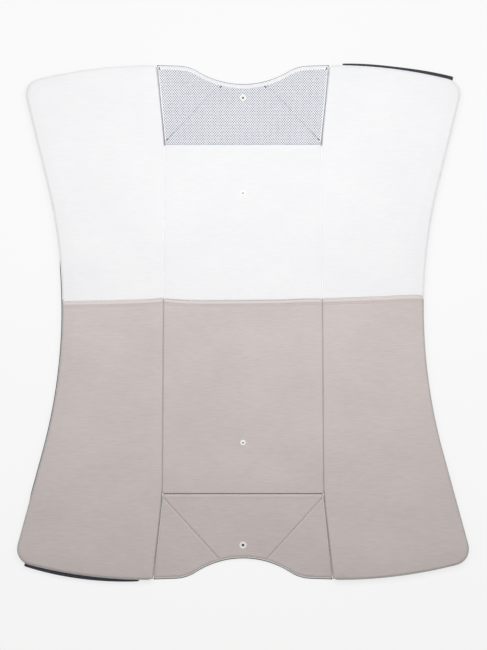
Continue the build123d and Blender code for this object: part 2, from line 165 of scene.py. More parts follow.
def maths(tree, operation, *parts):
    """Math nodes on sockets or numbers, worked from the left."""
    result = parts[0]
    for part in parts[1:] or (None,):
        inputs = {0: result} if part is None else {0: result, 1: part}
        result = made_by(tree, "ShaderNodeMath", inputs, operation=operation)
    return result


def mixed(tree, share, first, second):
    """Colour between two others."""
    inputs = {0: share, 6: first, 7: second}
    return add_node(tree, "ShaderNodeMix", inputs, data_type="RGBA").outputs[2]


def object_place(tree):
    """Object coordinates."""
    return add_node(tree, "ShaderNodeTexCoord").outputs["Object"]


def fibre_group():
    """Brushed knit: fine courses along x, loose fibre and broad uneven patches."""
    group, given, made = new_tree(
        "brushed_fibre", "ShaderNodeTree",
        {"Light": "Color", "Dark": "Color", "Course": "Float", "Patch": "Float"},
        {"Color": "Color", "Height": "Float"},
    )

    def noise(stretch, detail, rough):
        inputs = {"Scale": stretch, "Vector": object_place(group)}
        place = made_by(group, "ShaderNodeMapping", inputs)
        inputs = {"Scale": 1.0, "Detail": detail, "Roughness": rough, "Vector": place}
        return add_node(group, "ShaderNodeTexNoise", inputs).outputs["Fac"]

    courses = noise((70, 620, 300), 3.0, 0.6)
    fibre = noise((1700, 1700, 1700), 4.0, 0.7)
    patches = noise((11, 17, 15), 3.0, 0.55)
    fibre_weight = 0.35
    course_part = maths(group, "MULTIPLY", courses, given["Course"])
    patch_part = maths(group, "MULTIPLY", patches, given["Patch"])
    summed = maths(
        group, "ADD", course_part, patch_part, maths(group, "MULTIPLY", fibre, fibre_weight)
    )
    total = maths(group, "ADD", given["Course"], given["Patch"], fibre_weight)
    share = maths(group, "DIVIDE", summed, total)
    inputs = {"From Min": 0.36, "From Max": 0.64, "Value": share}
    spread = made_by(group, "ShaderNodeMapRange", inputs)
    group.links.new(mixed(group, spread, given["Dark"], given["Light"]), made["Color"])
    halves = [maths(group, "MULTIPLY", part, 0.5) for part in (courses, fibre)]
    group.links.new(maths(group, "ADD", *halves), made["Height"])
    return group


def weave_group():
    """Yarns crossing at an angle: a fine lifted diagonal over a cross rib. The colour follows the
    yarns' height, as painted shade between them and painted highlight on their crowns.
    """
    group, given, made = new_tree(
        "crossing_yarns", "ShaderNodeTree",
        {"Light": "Color", "Dark": "Color", "Ribs per metre": "Float", "Slant": "Float"},
        {"Color": "Color", "Height": "Float"},
    )

    def waves(place, turn):
        angle = maths(
            group, "MULTIPLY", place, maths(group, "MULTIPLY", given["Ribs per metre"], turn)
        )
        halved = maths(group, "MULTIPLY", maths(group, "SINE", angle), 0.5)
        return maths(group, "ADD", halved, 0.5)

    place = object_place(group)
    x, y, z = add_node(group, "ShaderNodeSeparateXYZ", {"Vector": place}).outputs
    leaning = maths(group, "MULTIPLY", maths(group, "ADD", y, z), given["Slant"])
    rib = waves(maths(group, "ADD", x, leaning), 2 * math.pi)
    cross_rib = waves(maths(group, "SUBTRACT", y, x), 3 * math.pi)
    uneven = add_node(
        group, "ShaderNodeTexNoise", {"Scale": 260.0, "Detail": 3.0, "Vector": place}
    ).outputs["Fac"]
    height = maths(
        group, "ADD", maths(group, "MULTIPLY", rib, 0.6), maths(group, "MULTIPLY", cross_rib, 0.25)
    )
    uneven = maths(group, "ADD", maths(group, "MULTIPLY", uneven, 1.2), 0.4)
    # Colour by yarn height: painted shade in the valleys and painted highlight on the crowns, with a
    # random unevenness of tone.
    share = maths(group, "MULTIPLY", height, uneven)
    group.links.new(mixed(group, share, given["Dark"], given["Light"]), made["Color"])
    group.links.new(height, made["Height"])
    return group


brushed_fibre = fibre_group()
crossing_yarns = weave_group()


def bumped(material, height, strength, depth):
    """Puts the bump of a height on a material."""
    tree = material.node_tree
    inputs = {"Strength": strength, "Distance": depth, "Height": height}
    normal = add_node(tree, "ShaderNodeBump", inputs).outputs["Normal"]
    tree.links.new(normal, tree.nodes["Principled BSDF"].inputs["Normal"])


def cloth(name, group, light, dark, counts, finish, **sockets):
    """Cloth from a shared group: counts are the group's two numbers, and finish gives roughness,
    bump strength, bump depth, sheen and specular level."""
    roughness, bump, depth, sheen, specular = finish
    sockets.update(Sheen_Weight=sheen, Specular_IOR_Level=specular)
    material = plain_material(name, (0.8, 0.8, 0.8), roughness, **sockets)
    tree = material.node_tree
    grain = add_node(tree, "ShaderNodeGroup", node_tree=group)
    for socket, value in zip(grain.inputs, ((*light, 1), (*dark, 1), *counts)):
        socket.default_value = value
    tree.links.new(grain.outputs["Color"], tree.nodes["Principled BSDF"].inputs["Base Color"])
    bumped(material, grain.outputs["Height"], bump, depth)
    return material


white_plush = cloth(
    "white_knit", brushed_fibre, (0.93, 0.93, 0.94), (0.87, 0.87, 0.885), (0.5, 0.4),
    (0.95, 0.35, 0.0004, 0.25, 0.2), Sheen_Roughness=0.5,
)
taupe_plush = cloth(
    "taupe_knit", brushed_fibre, (0.670, 0.601, 0.582), (0.582, 0.518, 0.500), (0.7, 0.45),
    (0.95, 0.45, 0.0004, 0.18, 0.2), Sheen_Roughness=0.5,
)


def mixed_in(material, share, colour):
    """Mixes a colour into a material's base colour by a share."""
    tree = material.node_tree
    base = tree.nodes["Principled BSDF"].inputs["Base Color"]
    tree.links.new(mixed(tree, share, base.links[0].from_socket, (*colour, 1)), base)


# The turned-over edge of the taupe half is double cloth, stretched paler, and its colour is also
# lifted as a painted highlight where the ridge faces the light.
hem_highlight_share = 0.85
knit_tree = taupe_plush.node_tree
hem_highlight_mask = add_node(knit_tree, "ShaderNodeAttribute", attribute_name="hem").outputs["Fac"]
mixed_in(taupe_plush, maths(knit_tree, "MULTIPLY", hem_highlight_mask, hem_highlight_share), (0.755, 0.690, 0.668))
navy_cloth = cloth(
    "navy_weave", crossing_yarns, (0.055, 0.060, 0.100), (0.016, 0.018, 0.034), (1100.0, 0.0),
    (0.75, 0.5, 0.0002, 0.08, 0.3),
)
# The twill is navy, and its near-black dark tone is partly painted shade for the shadow that falls
# on the strip.
navy_twill = cloth(
    "navy_twill", crossing_yarns, (0.085, 0.088, 0.12), (0.004, 0.004, 0.008), (520.0, 1.4),
    (0.6, 0.8, 0.0004, 0.1, 0.35),
)
grey_piping = cloth(
    "grey_bias_tape", crossing_yarns, (0.62, 0.62, 0.60), (0.40, 0.40, 0.39), (1300.0, 1.0),
    (0.8, 0.4, 0.0002, 0.1, 0.3),
)

# ---- Padded panels -------------------------------------------------------------------------------
# A centre and two wings: cut foam in a sewn cover, brushed knit on top and navy cloth below and up
# the sides. The cover is swelled by a little pressure over the foam and held down at its seams.
seam_x = 111.5
fold_y = 246.5
pad_height = 14.0
rim_free = 11.0  # where the top cover meets the piping
rim_fold = 12.5  # where it dips into a fold seam
seam_half_gap = 0.6
centre_crest = 13.8  # height of the stuffed tops away from their edges
wing_crest = 14.25
colour_seam_y = 25.0
waist_x = 253.0
waist_radius = 760.0
side_lean = math.radians(14.4)
wing_tip = (124.0, 363.0)
outer_corner_y = 337.0
corner_radius = 22.0
wall_set_in = 0.8
tip_rounding = 1.6
end_bow = 7.0  # how far a wing's end edge bows out
flap_reach_x = 126.0  # edges nearer the middle than this lie beside a flap or a fold
edge_steps = [0, 0.35, 0.9, 1.7, 2.8, 4.4, 6.8]
field_step = 5.0
roll_width = 9.0  # over this the top rounds off to its edge
roll_power = 2.3
swell_room = 0.35  # the cover lies this far below its crest before it is swelled
ripple_height = 0.16
tuck_depth = 1.5  # the underside is drawn in at its edges
tuck_reach = 9.0
corner_fade = 30.0
seam_reach = 30.0  # rows of the grid follow the colour seam within this
hem_width = 5.0
dent_radius = 8.0  # the cover is pulled down round each stud
dent_depth = 0.75
stud_well = (4.6, 13.35)  # radius and greatest height of the cover under a stud
wall_levels = ((8.9, 0.1), (4.9, 0.35), (1.3, 0.15))  # height and bulge of the side walls
snap_y = 176.0
swell_frames = 14
swell_cap = 0.5


def measured(line, shares):
    """Points at shares of the length of a polyline."""
    line = np.asarray(line, float)
    reach = np.concatenate([[0], np.cumsum(np.hypot(*np.diff(line, axis=0).T))])
    at = np.asarray(shares) * reach[-1]
    return np.stack([np.interp(at, reach, line[:, k]) for k in range(line.shape[1])], 1)


def stepped(length, start=True, finish=True, step=field_step):
    """Shares of a length with closer steps at the ends that are edges."""
    first = edge_steps if start else [0]
    last = [length - s for s in reversed(edge_steps)] if finish else [length]
    count = max(1, round((last[0] - first[-1]) / step))
    middle = np.linspace(first[-1], last[0], count + 1)[1:-1]
    return np.concatenate([first, middle, last]) / length


def patch(near, far, left, right, across, up):
    """Grid of points between four edges sampled at the same shares."""
    u = across[None, :, None]
    v = up[:, None, None]
    low_corners = (1 - u) * (1 - v) * near[0] + u * (1 - v) * near[-1]
    corners = low_corners + (1 - u) * v * far[0] + u * v * far[-1]
    between = (1 - v) * near[None] + v * far[None] + (1 - u) * left[:, None] + u * right[:, None]
    return between - corners


def sheet_faces(rows, cols):
    """Upper and lower faces, by turns, of two equal grids of points, one after the other."""
    faces = []
    for r in range(rows - 1):
        for c in range(cols - 1):
            a = r * cols + c
            b = a + rows * cols
            faces += [(a, a + 1, a + cols + 1, a + cols), (b, b + cols, b + cols + 1, b + 1)]
    return faces


def loft_faces(rows, around):
    """Faces of a closed skin over equal rings of points, with its two ends."""
    faces = []
    for r in range(rows - 1):
        for k in range(around):
            low, next_low = r * around + k, r * around + (k + 1) % around
            faces.append((low, next_low, next_low + around, low + around))
    faces.append(list(reversed(range(around))))
    faces.append([(rows - 1) * around + k for k in range(around)])
    return faces


def fixed(piece, body, slot, *nodes, fill=None):
    """Attaches a piece to what it rides on and hides the CAD nodes it stands for; slot and fill are
    not used.
    """
    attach(piece, body)
    if nodes:
        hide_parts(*nodes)
    return piece


def border(rows, cols):
    """Indices of the border of a grid, running round it once, counter-clockwise."""
    index = np.arange(rows * cols).reshape(rows, cols)
    return np.concatenate([index[0, :-1], index[:-1, -1], index[-1, :0:-1], index[:0:-1, 0]])


def nearest_on(line, points):
    """For each point: distance to a closed polyline, the nearest point on it, and its segment."""
    start = line
    run = np.roll(line, -1, axis=0) - line
    square = np.maximum((run**2).sum(1), 1e-12)
    best = np.full(len(points), 1e9)
    place = np.zeros((len(points), 2))
    which = np.zeros(len(points), int)
    for k in range(len(line)):
        t = np.clip(((points - start[k]) @ run[k]) / square[k], 0, 1)
        spot = start[k] + t[:, None] * run[k]
        gap = np.hypot(*(points - spot).T)
        nearer = gap < best
        best[nearer], place[nearer], which[nearer] = gap[nearer], spot[nearer], k
    return best, place, which


def wing_outline(inset):
    """Outer edge and head end of the right wing, as polylines in millimetres, pulled in by inset."""
    taper_y = waist_radius * math.sin(side_lean)
    taper_x = waist_x + waist_radius * (1 - math.cos(side_lean))
    outer_x = taper_x + (outer_corner_y - taper_y) * math.tan(side_lean)
    corner = np.array([outer_x, outer_corner_y])
    tip = np.array(wing_tip)
    chord = corner - tip
    out = np.array([-chord[1], chord[0]]) / np.hypot(*chord)
    radius = (chord @ chord / 4 + end_bow**2) / (2 * end_bow)
    centre = (tip + corner) / 2 + out * (end_bow - radius)
    # The corner is a fillet between the straight taper and the end arc.
    away = np.array([math.cos(side_lean), -math.sin(side_lean)])
    along_taper = np.array([math.sin(side_lean), math.cos(side_lean)])
    inner_radius = radius - corner_radius
    foot = np.array([taper_x, taper_y]) - away * corner_radius
    gap = foot - centre
    b = gap @ along_taper
    c = gap @ gap - inner_radius**2
    pivot = foot + along_taper * (-b + math.sqrt(b * b - c))
    first = math.atan2(away[1], away[0])
    toward = (pivot - centre) / np.hypot(*(pivot - centre))
    last = math.atan2(toward[1], toward[0])
    r = corner_radius - inset
    turn = [pivot + r * np.array([math.cos(a), math.sin(a)]) for a in np.linspace(first, last, 25)]
    start = math.atan2(*(toward[::-1]))
    finish = math.atan2(tip[1] - centre[1], tip[0] - centre[0])
    end_arc = [
        centre + (radius - inset) * np.array([math.cos(a), math.sin(a)])
        for a in np.linspace(start, finish, 60)
    ]
    bend = waist_radius + inset
    low = [
        (waist_x - inset + bend * (1 - math.cos(a)), bend * math.sin(a))
        for a in np.linspace(0, side_lean, 40)
    ]
    return low, turn, end_arc, centre, radius


def wing_sides(inset, inner_x, inner_tip_x):
    """Four edges of the right wing: inner, outer, head end and foot end, each a polyline."""
    low, turn, end_arc, _, _ = wing_outline(inset)
    half = len(turn) // 2
    head_outer = low + turn[: half + 1]
    outer = [(x, -y) for x, y in reversed(head_outer[1:])] + head_outer
    end_edge = turn[half:] + end_arc[1:]
    end_edge = [p for p in end_edge if p[0] > inner_tip_x + tip_rounding]
    top_y = end_edge[-1][1]
    rounding = []
    for a in np.radians([20, 45]):
        x = inner_tip_x + tip_rounding * (1 - math.sin(a))
        rounding.append((x, top_y - tip_rounding * (1 - math.cos(a)) + 0.1))
    head = list(reversed(end_edge + rounding))
    corner = head[0]
    lean_x = (inner_tip_x - inner_x) / (wing_tip[1] - fold_y)
    bend = np.linspace(-18, 18, 9)
    inner_head = [(inner_x + lean_x * (max(0.0, (b + 18)) ** 2 / 72), fold_y + b) for b in bend]
    inner_head.append((inner_tip_x - lean_x * 8, wing_tip[1] - 8))
    inner_head.append(tuple(corner))
    inner = [(x, -y) for x, y in reversed(inner_head)] + inner_head
    foot = [(x, -y) for x, y in head]
    return inner, outer, head, foot


def split_at(line, y):
    """The two parts of a rising polyline below and above a height y."""
    line = np.asarray(line, float)
    x = np.interp(y, line[:, 1], line[:, 0])
    below = line[line[:, 1] < y - 1e-6]
    above = line[line[:, 1] > y + 1e-6]
    return np.vstack([below, [x, y]]), np.vstack([[x, y], above])


# The colour seam was sewn a little off square, and it draws up where it crosses a fold.
seam_at = [-250, -200, -149, -132, -113, -98, -81, -47, 0, 54, 88, 105, 122, 139, 173, 207, 223, 240]
seam_rise = [
    -4.2, -3.5, -2.1, -1.4, 0.6, -1.0, -2.2, -2.7, -2.3, -1.7, -0.2, 0.1, 0.0, 0.7, 1.7, 3.0, 4.1,
    4.6,
]


def seam_line(x):
    """Where the colour seam lies at x across the pad."""
    return colour_seam_y + np.interp(x, seam_at, seam_rise)


seam_steps = np.array([-13.0, -10.5, -8.9, -7.9, -6.9, -5.6, -4.6, -3.4, -2.2, -1.1, 0, 1.1, 2.6])


def panel_grid(inner, outer, head, foot):
    """Grid of a panel with close rows along its colour seam, and the number of the seam's row."""
    width = np.hypot(*(np.asarray(outer[len(outer) // 2]) - np.asarray(inner[len(inner) // 2])))
    across = stepped(width)
    low_in, high_in = split_at(inner, colour_seam_y)
    low_out, high_out = split_at(outer, colour_seam_y)
    reach_low = colour_seam_y + wing_tip[1] if inner[-1][1] > fold_y + 20 else colour_seam_y + fold_y
    reach_high = reach_low - 2 * colour_seam_y
    low_mm = np.concatenate([
        stepped(reach_low + seam_steps[0], True, False) * (reach_low + seam_steps[0]),
        reach_low + seam_steps[1:],
    ])
    high_mm = stepped(reach_high - 5.0, False, True) * (reach_high - 5.0) + 5.0
    high_mm = np.concatenate([[1.1, 2.6], high_mm])
    low_mm = low_mm[low_mm <= reach_low + 1e-6]
    seam_row = len(low_mm) - 1
    left, right = (
        np.vstack([measured(low, low_mm / reach_low), measured(high, high_mm / reach_high)])
        for low, high in ((low_in, high_in), (low_out, high_out))
    )
    up = np.concatenate([low_mm, reach_low + high_mm]) / (reach_low + reach_high)
    return patch(measured(foot, across), measured(head, across), left, right, across, up), seam_row


def tucked_in(grid, depth, reach):
    """Grid moved in from its four sides by depth, fading out over reach and at its corners."""
    moved = np.zeros_like(grid)
    for first, last in ((grid[:, :1], grid[:, -1:]), (grid[:1], grid[-1:])):
        run = (last - first) / np.linalg.norm(last - first, axis=2, keepdims=True)
        for edge, way in ((first, 1), (last, -1)):
            gap = np.linalg.norm(grid - edge, axis=2, keepdims=True)
            moved += way * depth * run * np.clip(1 - gap / reach, 0, 1)
    for corner in (grid[0, 0], grid[0, -1], grid[-1, 0], grid[-1, -1]):
        away = np.clip(np.linalg.norm(grid - corner, axis=2, keepdims=True) / corner_fade, 0, 1)
        moved *= away**2
    return grid + moved


def plain_mesh(source):
    """Mesh of an object with its modifiers applied; the object itself is removed."""
    graph = bpy.context.evaluated_depsgraph_get()
    mesh = bpy.data.meshes.new_from_object(source.evaluated_get(graph))
    bpy.data.objects.remove(source)
    return mesh


def swell(piece, free, cap):
    """Cloth under a little pressure, pinned where free is 0; moves stay within cap millimetres."""
    start = np.array([v.co for v in piece.data.vertices])
    pins = piece.vertex_groups.new(name="pins")
    for index, weight in enumerate(1 - free):
        pins.add([index], float(weight), "REPLACE")
    modifier = piece.modifiers.new("cloth", "CLOTH")
    settings = modifier.settings
    for setting, value in {
        "vertex_group_mass": "pins", "quality": 3, "mass": 0.2, "tension_stiffness": 20,
        "compression_stiffness": 15, "shear_stiffness": 8, "bending_stiffness": 0.3,
        "use_pressure": True, "uniform_pressure_force": 4.0,
    }.items():
        setattr(settings, setting, value)
    settings.effector_weights.gravity = 0
    scene = bpy.context.scene
    modifier.point_cache.frame_start, modifier.point_cache.frame_end = 1, swell_frames
    for number in range(1, swell_frames + 1):
        scene.frame_set(number)
    swelled = piece.evaluated_get(bpy.context.evaluated_depsgraph_get())
    moved = np.array([v.co for v in swelled.data.vertices]) - start
    piece.modifiers.clear()
    piece.vertex_groups.clear()
    scene.frame_set(1)
    reach = np.maximum(np.linalg.norm(moved, axis=1), 1e-12)
    moved *= np.minimum(1, cap * mm / reach)[:, None]
    piece.data.vertices.foreach_set("co", (start + moved).ravel())


def ripple(x, y, seed):
    """Slow unevenness of a stuffed surface, about -1 to 1."""
    rng = np.random.default_rng(seed)
    total = np.zeros_like(x)
    for _ in range(14):
        angle, wave = rng.uniform(0, math.pi), rng.uniform(35, 130)
        phase = rng.uniform(0, 2 * math.pi)
        total += np.sin((x * math.cos(angle) + y * math.sin(angle)) * 2 * math.pi / wave + phase)
    return total / 5.0


def seam_profile(y, x):
    """Height of the top beside the colour seam: the white dips in, the taupe edge is turned over."""
    from_seam = y - seam_line(x)
    dip = -1.6 * np.exp(-((from_seam / 0.9) ** 2))
    ridge = 0.85 * np.exp(-(((from_seam + 3.0) / 2.2) ** 4))
    stitch_line = -0.2 * np.exp(-(((from_seam + 7.9) / 0.9) ** 2))
    return dip + ridge + stitch_line


def foam_shape(name, body, grid, seam_row, rim_of, slack_of, crest):
    """Closed coarse shape of a panel; returns it, its outline and its points' gap to the edge."""
    rows, cols = grid.shape[:2]
    flat = grid.reshape(-1, 2)
    count = len(flat)
    ring = border(rows, cols)
    outline = flat[ring]
    after = np.roll(outline, -1, axis=0)
    gap, _, which = nearest_on(outline, flat)
    rim = rim_of(outline)[which]
    share = np.clip(gap / roll_width, 0, 1)
    rise = (1 - (1 - share) ** roll_power) ** (1 / roll_power)
    top = np.column_stack([flat, rim + (crest - swell_room - rim) * rise])
    run = after - np.roll(outline, 1, axis=0)
    normal = np.column_stack([run[:, 1], -run[:, 0]]) / np.hypot(*run.T)[:, None]
    tucked = tucked_in(grid, tuck_depth, tuck_reach).reshape(-1, 2)
    bottom = np.column_stack([tucked, np.zeros(count)])
    slack = slack_of(outline)
    walls = [
        np.column_stack([outline + normal * (out + slack[:, k])[:, None], np.full(len(ring), level)])
        for k, (level, out) in enumerate(wall_levels)
    ]
    faces = sheet_faces(rows, cols)
    zones = [z for r in range(rows - 1) for _ in range(cols - 1) for z in (int(r < seam_row), 2)]
    loops = [2 * count + k * len(ring) + np.arange(len(ring)) for k in range(len(walls))]
    loops = [ring, *loops, ring + count]
    middle = (outline + after) / 2
    beside_fold = (np.abs(middle[:, 0]) < flap_reach_x) * (2 if body != "centre" else 1)
    for level, (upper, lower) in enumerate(zip(loops[:-1], loops[1:])):
        for k in range(len(ring)):
            j = (k + 1) % len(ring)
            faces.append((upper[k], lower[k], lower[j], upper[j]))
            zones.append(int(middle[k, 1] <= colour_seam_y) if level < beside_fold[k] else 2)
    points = np.vstack([top, bottom, *walls]) * mm
    panel = new_piece(name, points, faces, [white_plush, taupe_plush, navy_cloth], zones)
    return panel, outline, gap


def padded_panel(name, body, grid, seam_row, rim_of, slack_of, crest, seed):
    """Swelled closed panel, split into its white and taupe tops and its navy back."""
    grid = grid.copy()
    near_seam = np.exp(-(((grid[:, :, 1] - colour_seam_y) / seam_reach) ** 2))
    grid[:, :, 1] += near_seam * (seam_line(grid[:, :, 0]) - colour_seam_y)
    panel, outline, gap = foam_shape(name, body, grid, seam_row, rim_of, slack_of, crest)
    free = np.zeros(len(panel.data.vertices))
    free[: len(gap)] = np.clip((gap - 1.0) / 3.0, 0, 1)
    swell(panel, free, swell_cap)
    subdivide = panel.modifiers.new("finer", "SUBSURF")
    subdivide.levels = subdivide.render_levels = 1
    finer = plain_mesh(panel)
    place = np.array([v.co for v in finer.vertices]) / mm
    on_top = np.zeros(len(place), bool)
    for polygon in finer.polygons:
        if polygon.material_index < 2:
            on_top[list(polygon.vertices)] = True
    x, y, z = place.T
    edge_gap, _, _ = nearest_on(outline, place[:, :2])
    z += np.clip(edge_gap / 6.0, 0, 1) * on_top * (ripple_height * ripple(x, y, seed))
    z += np.clip(edge_gap / 3.0, 0.25, 1) * on_top * seam_profile(y, x)
    if body == "centre":
        for end in (1, -1):
            off = np.hypot(x, y - end * snap_y)
            dent = np.exp(-((off / dent_radius) ** 2)) * (z - (pad_height - dent_depth))
            z -= on_top * np.where(dent > 0, dent, 0)
            z[:] = np.where(on_top & (off < stud_well[0]), np.minimum(z, stud_well[1]), z)
    for zone, (suffix, material, slot, thickness, stands_for) in enumerate((
        ("white_top", white_plush, "white_plush", 1.0, ["cover_white"]),
        ("taupe_top", taupe_plush, "taupe_plush", 1.0, ["cover_taupe"]),
        ("underside", navy_cloth, "navy_cloth", 0.7, ["back", "foam"]),
    )):
        kept = [tuple(p.vertices) for p in finer.polygons if p.material_index == zone]
        used = sorted({v for f in kept for v in f})
        number = {v: k for k, v in enumerate(used)}
        faces = [tuple(number[v] for v in f) for f in kept]
        piece = new_piece(f"{name}_{suffix}", place[used] * mm, faces, [material])
        # Marks the turned hem of the taupe cover, which the knit lifts with a painted highlight.
        if suffix == "taupe_top":
            inside = y[used] - seam_line(x[used]) + hem_width
            hem = np.clip(inside / 1.2, 0, 1) * (z[used] > 11.5)
            piece.data.attributes.new("hem", "FLOAT", "POINT").data.foreach_set("value", hem)
        wall = piece.modifiers.new("cloth thickness", "SOLIDIFY")
        wall.thickness = thickness * mm
        wall.offset = -1
        fixed(piece, body, slot, *(f"{name}_{node}" for node in stands_for), fill=0.7)
    bpy.data.meshes.remove(finer)


half_width = seam_x - seam_half_gap
half_length = fold_y - seam_half_gap
foot_left, foot_right = (-half_width, -half_length), (half_width, -half_length)
head_left, head_right = (-half_width, half_length), (half_width, half_length)
centre_grid, centre_row = panel_grid(
    [foot_left, head_left], [foot_right, head_right],
    [head_left, head_right], [foot_left, foot_right],
)
padded_panel(
    "centre", "centre", centre_grid, centre_row, lambda line: np.full(len(line), rim_fold),
    lambda line: np.zeros((len(line), 3)), centre_crest, 3,
)


def wing_rim(line):
    """Height of the top cover's edge round a wing: higher along the fold seam."""
    inner = np.abs(line[:, 0]) < seam_x + 2.2
    fold = np.clip((fold_y + 6 - np.abs(line[:, 1])) / 12, 0, 1) * inner
    slit = (np.abs(line[:, 0]) < flap_reach_x) * 1.0
    return np.maximum(rim_free + (rim_fold - rim_free) * fold, rim_free + 0.6 * slit)


def wall_slack(line):
    """How far a wing's side wall hangs out at its three levels: the left waist, and by the flaps."""
    along = np.clip((line[:, 1] + 285) / 40, 0, 1) * np.clip((110 - line[:, 1]) / 40, 0, 1)
    waist = along * (line[:, 0] < -240)
    past_fold = np.clip((np.abs(line[:, 1]) - fold_y + 1) / 4, 0, 1)
    by_flap = (np.abs(line[:, 0]) < flap_reach_x) * past_fold
    return np.outer(waist, (2.5, 3.1, 0.9)) + np.outer(by_flap, (0.0, 0.9, 1.25))


wing_grid, wing_row = panel_grid(
    *wing_sides(wall_set_in, seam_x + seam_half_gap, wing_tip[0] + seam_half_gap + 0.2)
)
for side, prefix, seed in ((1, "right_wing", 5), (-1, "left_wing", 9)):
    grid = wing_grid.copy()
    if side < 0:
        grid[:, :, 0] *= -1
        grid = grid[:, ::-1]
    padded_panel(prefix, prefix, grid, wing_row, wing_rim, wall_slack, wing_crest, seed)

# ---- Fold seams ----------------------------------------------------------------------------------
# The covers of two panels are sewn together edge to edge along each fold. The joined cloth lies in
# the groove between them, in the colours of the cover.
strip_levels = 9
strip_half = 1.9
white_strip_depth = 12.3
taupe_strip_depth = 11.3
strip_thickness = 0.7
flap_axis_z = 14.3


def fold_strip(name, body, start, finish, out, depth, material, slot, *nodes):
    """Strip of cloth in the groove of a fold; out points from the centre to the moving panel."""
    start, finish, outward = (np.array(v, float) for v in (start, finish, out))
    run = finish - start
    rows = max(2, int(np.hypot(*run) / 4))
    across = np.linspace(-strip_half, strip_half, strip_levels)
    profile = depth - 0.55 * np.cos(np.clip(across / strip_half, -1, 1) * math.pi / 2)
    points, faces = [], []
    rng = np.random.default_rng(31)
    for r in range(rows + 1):
        base = start + run * r / rows
        wander = rng.uniform(-0.06, 0.06)
        for under in (0, strip_thickness):
            for a, z in zip(across, profile):
                spot = base + outward * (a + wander)
                points.append((spot[0] * mm, spot[1] * mm, (z - under) * mm))
    ring = list(range(strip_levels)) + list(range(2 * strip_levels - 1, strip_levels - 1, -1))
    for r in range(rows):
        low, up = r * 2 * strip_levels, (r + 1) * 2 * strip_levels
        for k in range(len(ring)):
            j = (k + 1) % len(ring)
            faces.append((low + ring[k], up + ring[k], up + ring[j], low + ring[j]))
    faces.append(ring)
    faces.append([rows * 2 * strip_levels + k for k in reversed(ring)])
    if run[0] * outward[1] - run[1] * outward[0] < 0:
        faces = [tuple(reversed(f)) for f in faces]
    piece = new_piece(name, points, faces, [material])
    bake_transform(piece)
    if nodes:
        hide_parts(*nodes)


for side, name in ((1, "right"), (-1, "left")):
    x = side * seam_x
    fold_strip(
        f"{name}_fold_cloth_white", f"{name}_wing", (x, colour_seam_y), (x, fold_y - 1), (side, 0),
        white_strip_depth, white_plush, "white_plush", f"{name}_fold_seam",
    )
    fold_strip(
        f"{name}_fold_cloth_taupe", f"{name}_wing", (x, 1 - fold_y), (x, colour_seam_y), (side, 0),
        taupe_strip_depth, taupe_plush, "taupe_plush",
    )
for end, name, material, slot, depth in (
    (1, "head", white_plush, "white_plush", 12.95), (-1, "foot", taupe_plush, "taupe_plush", 10.9),
):
    fold_strip(
        f"{name}_fold_cloth", f"{name}_flap", (1.5 - seam_x, end * fold_y),
        (seam_x - 1.5, end * fold_y), (0, end), depth, material, slot, f"{name}_fold_seam",
    )

# ---- Piping --------------------------------------------------------------------------------------
# Light grey bias tape round a thin cord, sewn into the outer and end edges of each wing between
# the top cover and the side wall.
piping_radius = 1.25
piping_set_in = 0.45
piping_z = 10.0
tube_sides = 10


def tube(name, path, radius, material, squeeze=1.0):
    """Closed tube along points in millimetres; its ends taper in."""
    path = np.asarray(path, float)
    tangent = np.gradient(path, axis=0)
    tangent /= np.linalg.norm(tangent, axis=1)[:, None]
    side = np.cross(tangent, (0, 0, 1.0))
    side /= np.linalg.norm(side, axis=1)[:, None]
    lift = np.cross(side, tangent)
    angle = np.arange(tube_sides) * 2 * math.pi / tube_sides
    scale = np.ones(len(path))
    scale[0] = scale[-1] = 0.35
    scale[1] = scale[-2] = 0.85
    round_x, round_z = radius * np.cos(angle), radius * squeeze * np.sin(angle)
    rings = [
        path[k] + scale[k] * (np.outer(round_x, side[k]) + np.outer(round_z, lift[k]))
        for k in range(len(path))
    ]
    return new_piece(name, np.vstack(rings) * mm, loft_faces(len(path), tube_sides), [material])


def wing_edge(inset):
    """Free edge of the right wing from its inner head corner round to its inner foot corner."""
    low, turn, end_arc, _, _ = wing_outline(inset)
    head = [p for p in end_arc if p[0] > wing_tip[0] + tip_rounding]
    half = list(reversed(head)) + list(reversed(turn)) + list(reversed(low))
    return [tuple(p) for p in half] + [(p[0], -p[1]) for p in reversed(half[:-1])]


# The tape is painted paler along the white half: painted light for the brighter lighting there.
tape_tree = grey_piping.node_tree
tape_place = add_node(tape_tree, "ShaderNodeSeparateXYZ", {"Vector": object_place(tape_tree)})
painted_light_on_white_half = maths(tape_tree, "GREATER_THAN", tape_place.outputs["Y"], colour_seam_y * mm)
mixed_in(grey_piping, painted_light_on_white_half, (0.86, 0.86, 0.87))
edge_line = np.array(wing_edge(piping_set_in))
edge_length = np.hypot(*np.diff(edge_line, axis=0).T).sum()
edge_line = measured(edge_line, np.linspace(0, 1, int(edge_length / 2.5)))
for side, prefix in ((1, "right_wing"), (-1, "left_wing")):
    wave = np.random.default_rng(17 + side).normal(0, 1, len(edge_line))
    wave = np.convolve(wave, np.hanning(9) / np.hanning(9).sum(), "same") * 0.16
    path = np.column_stack([side * edge_line[:, 0], edge_line[:, 1], piping_z + wave])
    if side < 0:
        path = path[::-1]
    piping = tube(f"{prefix}_piping_cord", path, piping_radius, grey_piping)
    fixed(piping, prefix, "grey_piping", f"{prefix}_piping")

# ---- Stitches ------------------------------------------------------------------------------------
# Sewing thread: a row of lock stitches holds the turned edge of the taupe cover down, and finer
# rows hold the bindings of the flaps and the strips over the zips.


def thread(name, light, dark):
    """Twisted sewing thread with a slight sheen."""
    return cloth(name, crossing_yarns, light, dark, (3200.0, 1.2), (0.6, 0.4, 0.0001, 0.2, 0.4))


taupe_thread = thread("taupe_thread", (0.62, 0.555, 0.535), (0.46, 0.405, 0.39))
white_thread = thread("white_thread", (0.90, 0.90, 0.91), (0.66, 0.67, 0.70))
navy_thread = thread("navy_thread", (0.060, 0.065, 0.105), (0.012, 0.013, 0.024))


